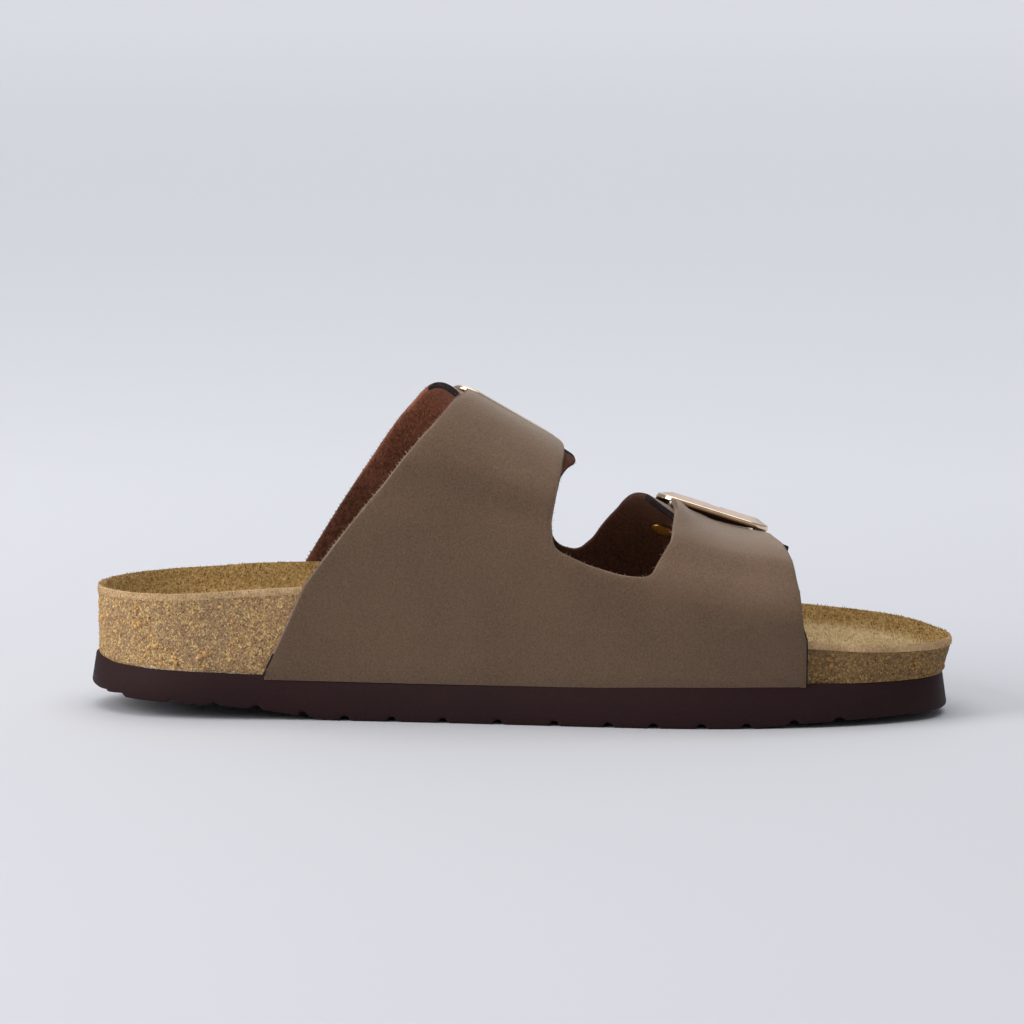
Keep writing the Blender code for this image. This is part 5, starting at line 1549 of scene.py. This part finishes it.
def build_sweep():
    """Sheet of pale paper, flat under the sandal and far behind it, then bent up, with painted shade towards
    the camera and painted light far behind.
    """
    turns = np.linspace(0, math.pi / 2, SWEEP_STEPS)[1:]
    run = [(SWEEP_NEAR, 0.0), (SWEEP_BACK, 0.0)]
    run += [(SWEEP_BACK + SWEEP_BEND * math.sin(a), SWEEP_BEND - SWEEP_BEND * math.cos(a)) for a in turns]
    run.append((SWEEP_BACK + SWEEP_BEND, SWEEP_TOP))
    points = [(x, y, z) for y, z in run for x in (-SWEEP_HALF, SWEEP_HALF)]
    faces = [(2 * i, 2 * i + 1, 2 * i + 3, 2 * i + 2) for i in range(len(run) - 1)]
    mesh = bpy.data.meshes.new("sweep")
    mesh.from_pydata(points, [], faces)
    mesh.shade_smooth()
    paper, tree, shader = new_finish("pale_paper", Roughness=0.7, Specular_IOR_Level=0.25)
    place = place_on(tree)
    depth = put(tree, "ShaderNodeSeparateXYZ", {"Vector": place}).outputs[1]
    cloud = sum_up(tree, "MULTIPLY", cloud_at(tree, place, 1.5, 2.0), 0.1)
    # painted shade and painted light: the paper darkens towards the camera and brightens far behind the sandal
    near_by = sum_up(tree, "ADD", remap(tree, depth, -0.25, 0.7), cloud)
    colour = blend_colours(tree, near_by, (0.668, 0.674, 0.715, 1), (0.80, 0.81, 0.855, 1))
    colour = blend_colours(tree, remap(tree, depth, 1.5, 6.5), colour, (0.91, 0.92, 0.965, 1))
    tree.links.new(colour, shader.inputs["Base Color"])
    mesh.materials.append(paper)
    sweep = bpy.data.objects.new("sweep", mesh)
    bpy.context.collection.objects.link(sweep)


def look_along(holder, direction):
    """Turns a lamp or camera to look along a direction."""
    holder.rotation_euler = Vector(direction).to_track_quat("-Z", "Y").to_euler()


def new_lamp(name, kind, power):
    """Lamp in the studio's warm white, and the object that holds it."""
    lamp = bpy.data.lights.new(name, kind)
    lamp.energy = power
    lamp.color = LAMP_COLOUR
    holder = bpy.data.objects.new(name, lamp)
    bpy.context.collection.objects.link(holder)
    return lamp, holder


def build_lights():
    """Wide soft light from above, a panel at the heel, and a room that glows behind the sandal."""
    overhead, holder = new_lamp("overhead", "SUN", OVERHEAD_POWER)
    overhead.angle = OVERHEAD_ANGLE
    look_along(holder, OVERHEAD_AIM)
    panel, holder = new_lamp("heel_panel", "AREA", PANEL_POWER)
    panel.shape = "RECTANGLE"
    panel.size, panel.size_y = PANEL_SIZE
    holder.location = PANEL_PLACE
    look_along(holder, Vector(PANEL_AIM) - Vector(PANEL_PLACE))
    room = bpy.data.worlds.new("studio")
    room.use_nodes = True
    bpy.context.scene.world = room
    tree = room.node_tree
    sky = tree.nodes["Background"]
    sky.inputs["Color"].default_value = SKY_COLOUR
    towards = put(tree, "ShaderNodeTexCoord").outputs["Generated"]
    behind = vector_sum(tree, "DOT_PRODUCT", towards, BACK_GLOW, "Value")
    tree.links.new(remap(tree, behind, *BACK_GLOW_EDGE, *SKY_STRENGTH), sky.inputs["Strength"])


def build_camera():
    """Camera at the photo's angle, on the inner side and a little above."""
    camera = bpy.data.cameras.new("photo_camera")
    camera.lens = CAMERA_LENS
    camera.sensor_width = CAMERA_SENSOR
    holder = bpy.data.objects.new("photo_camera", camera)
    bpy.context.collection.objects.link(holder)
    aim = Vector((CAMERA_AIM + STAND) * MM)
    back = Vector((0.0, -math.cos(CAMERA_RISE), math.sin(CAMERA_RISE)))
    holder.location = aim + back * CAMERA_AWAY * MM
    look_along(holder, aim - holder.location)
    bpy.context.scene.camera = holder
    bpy.context.scene.view_settings.view_transform = "Standard"


build_bed()
build_upper()
build_buckles()
build_sweep()
build_lights()
build_camera()
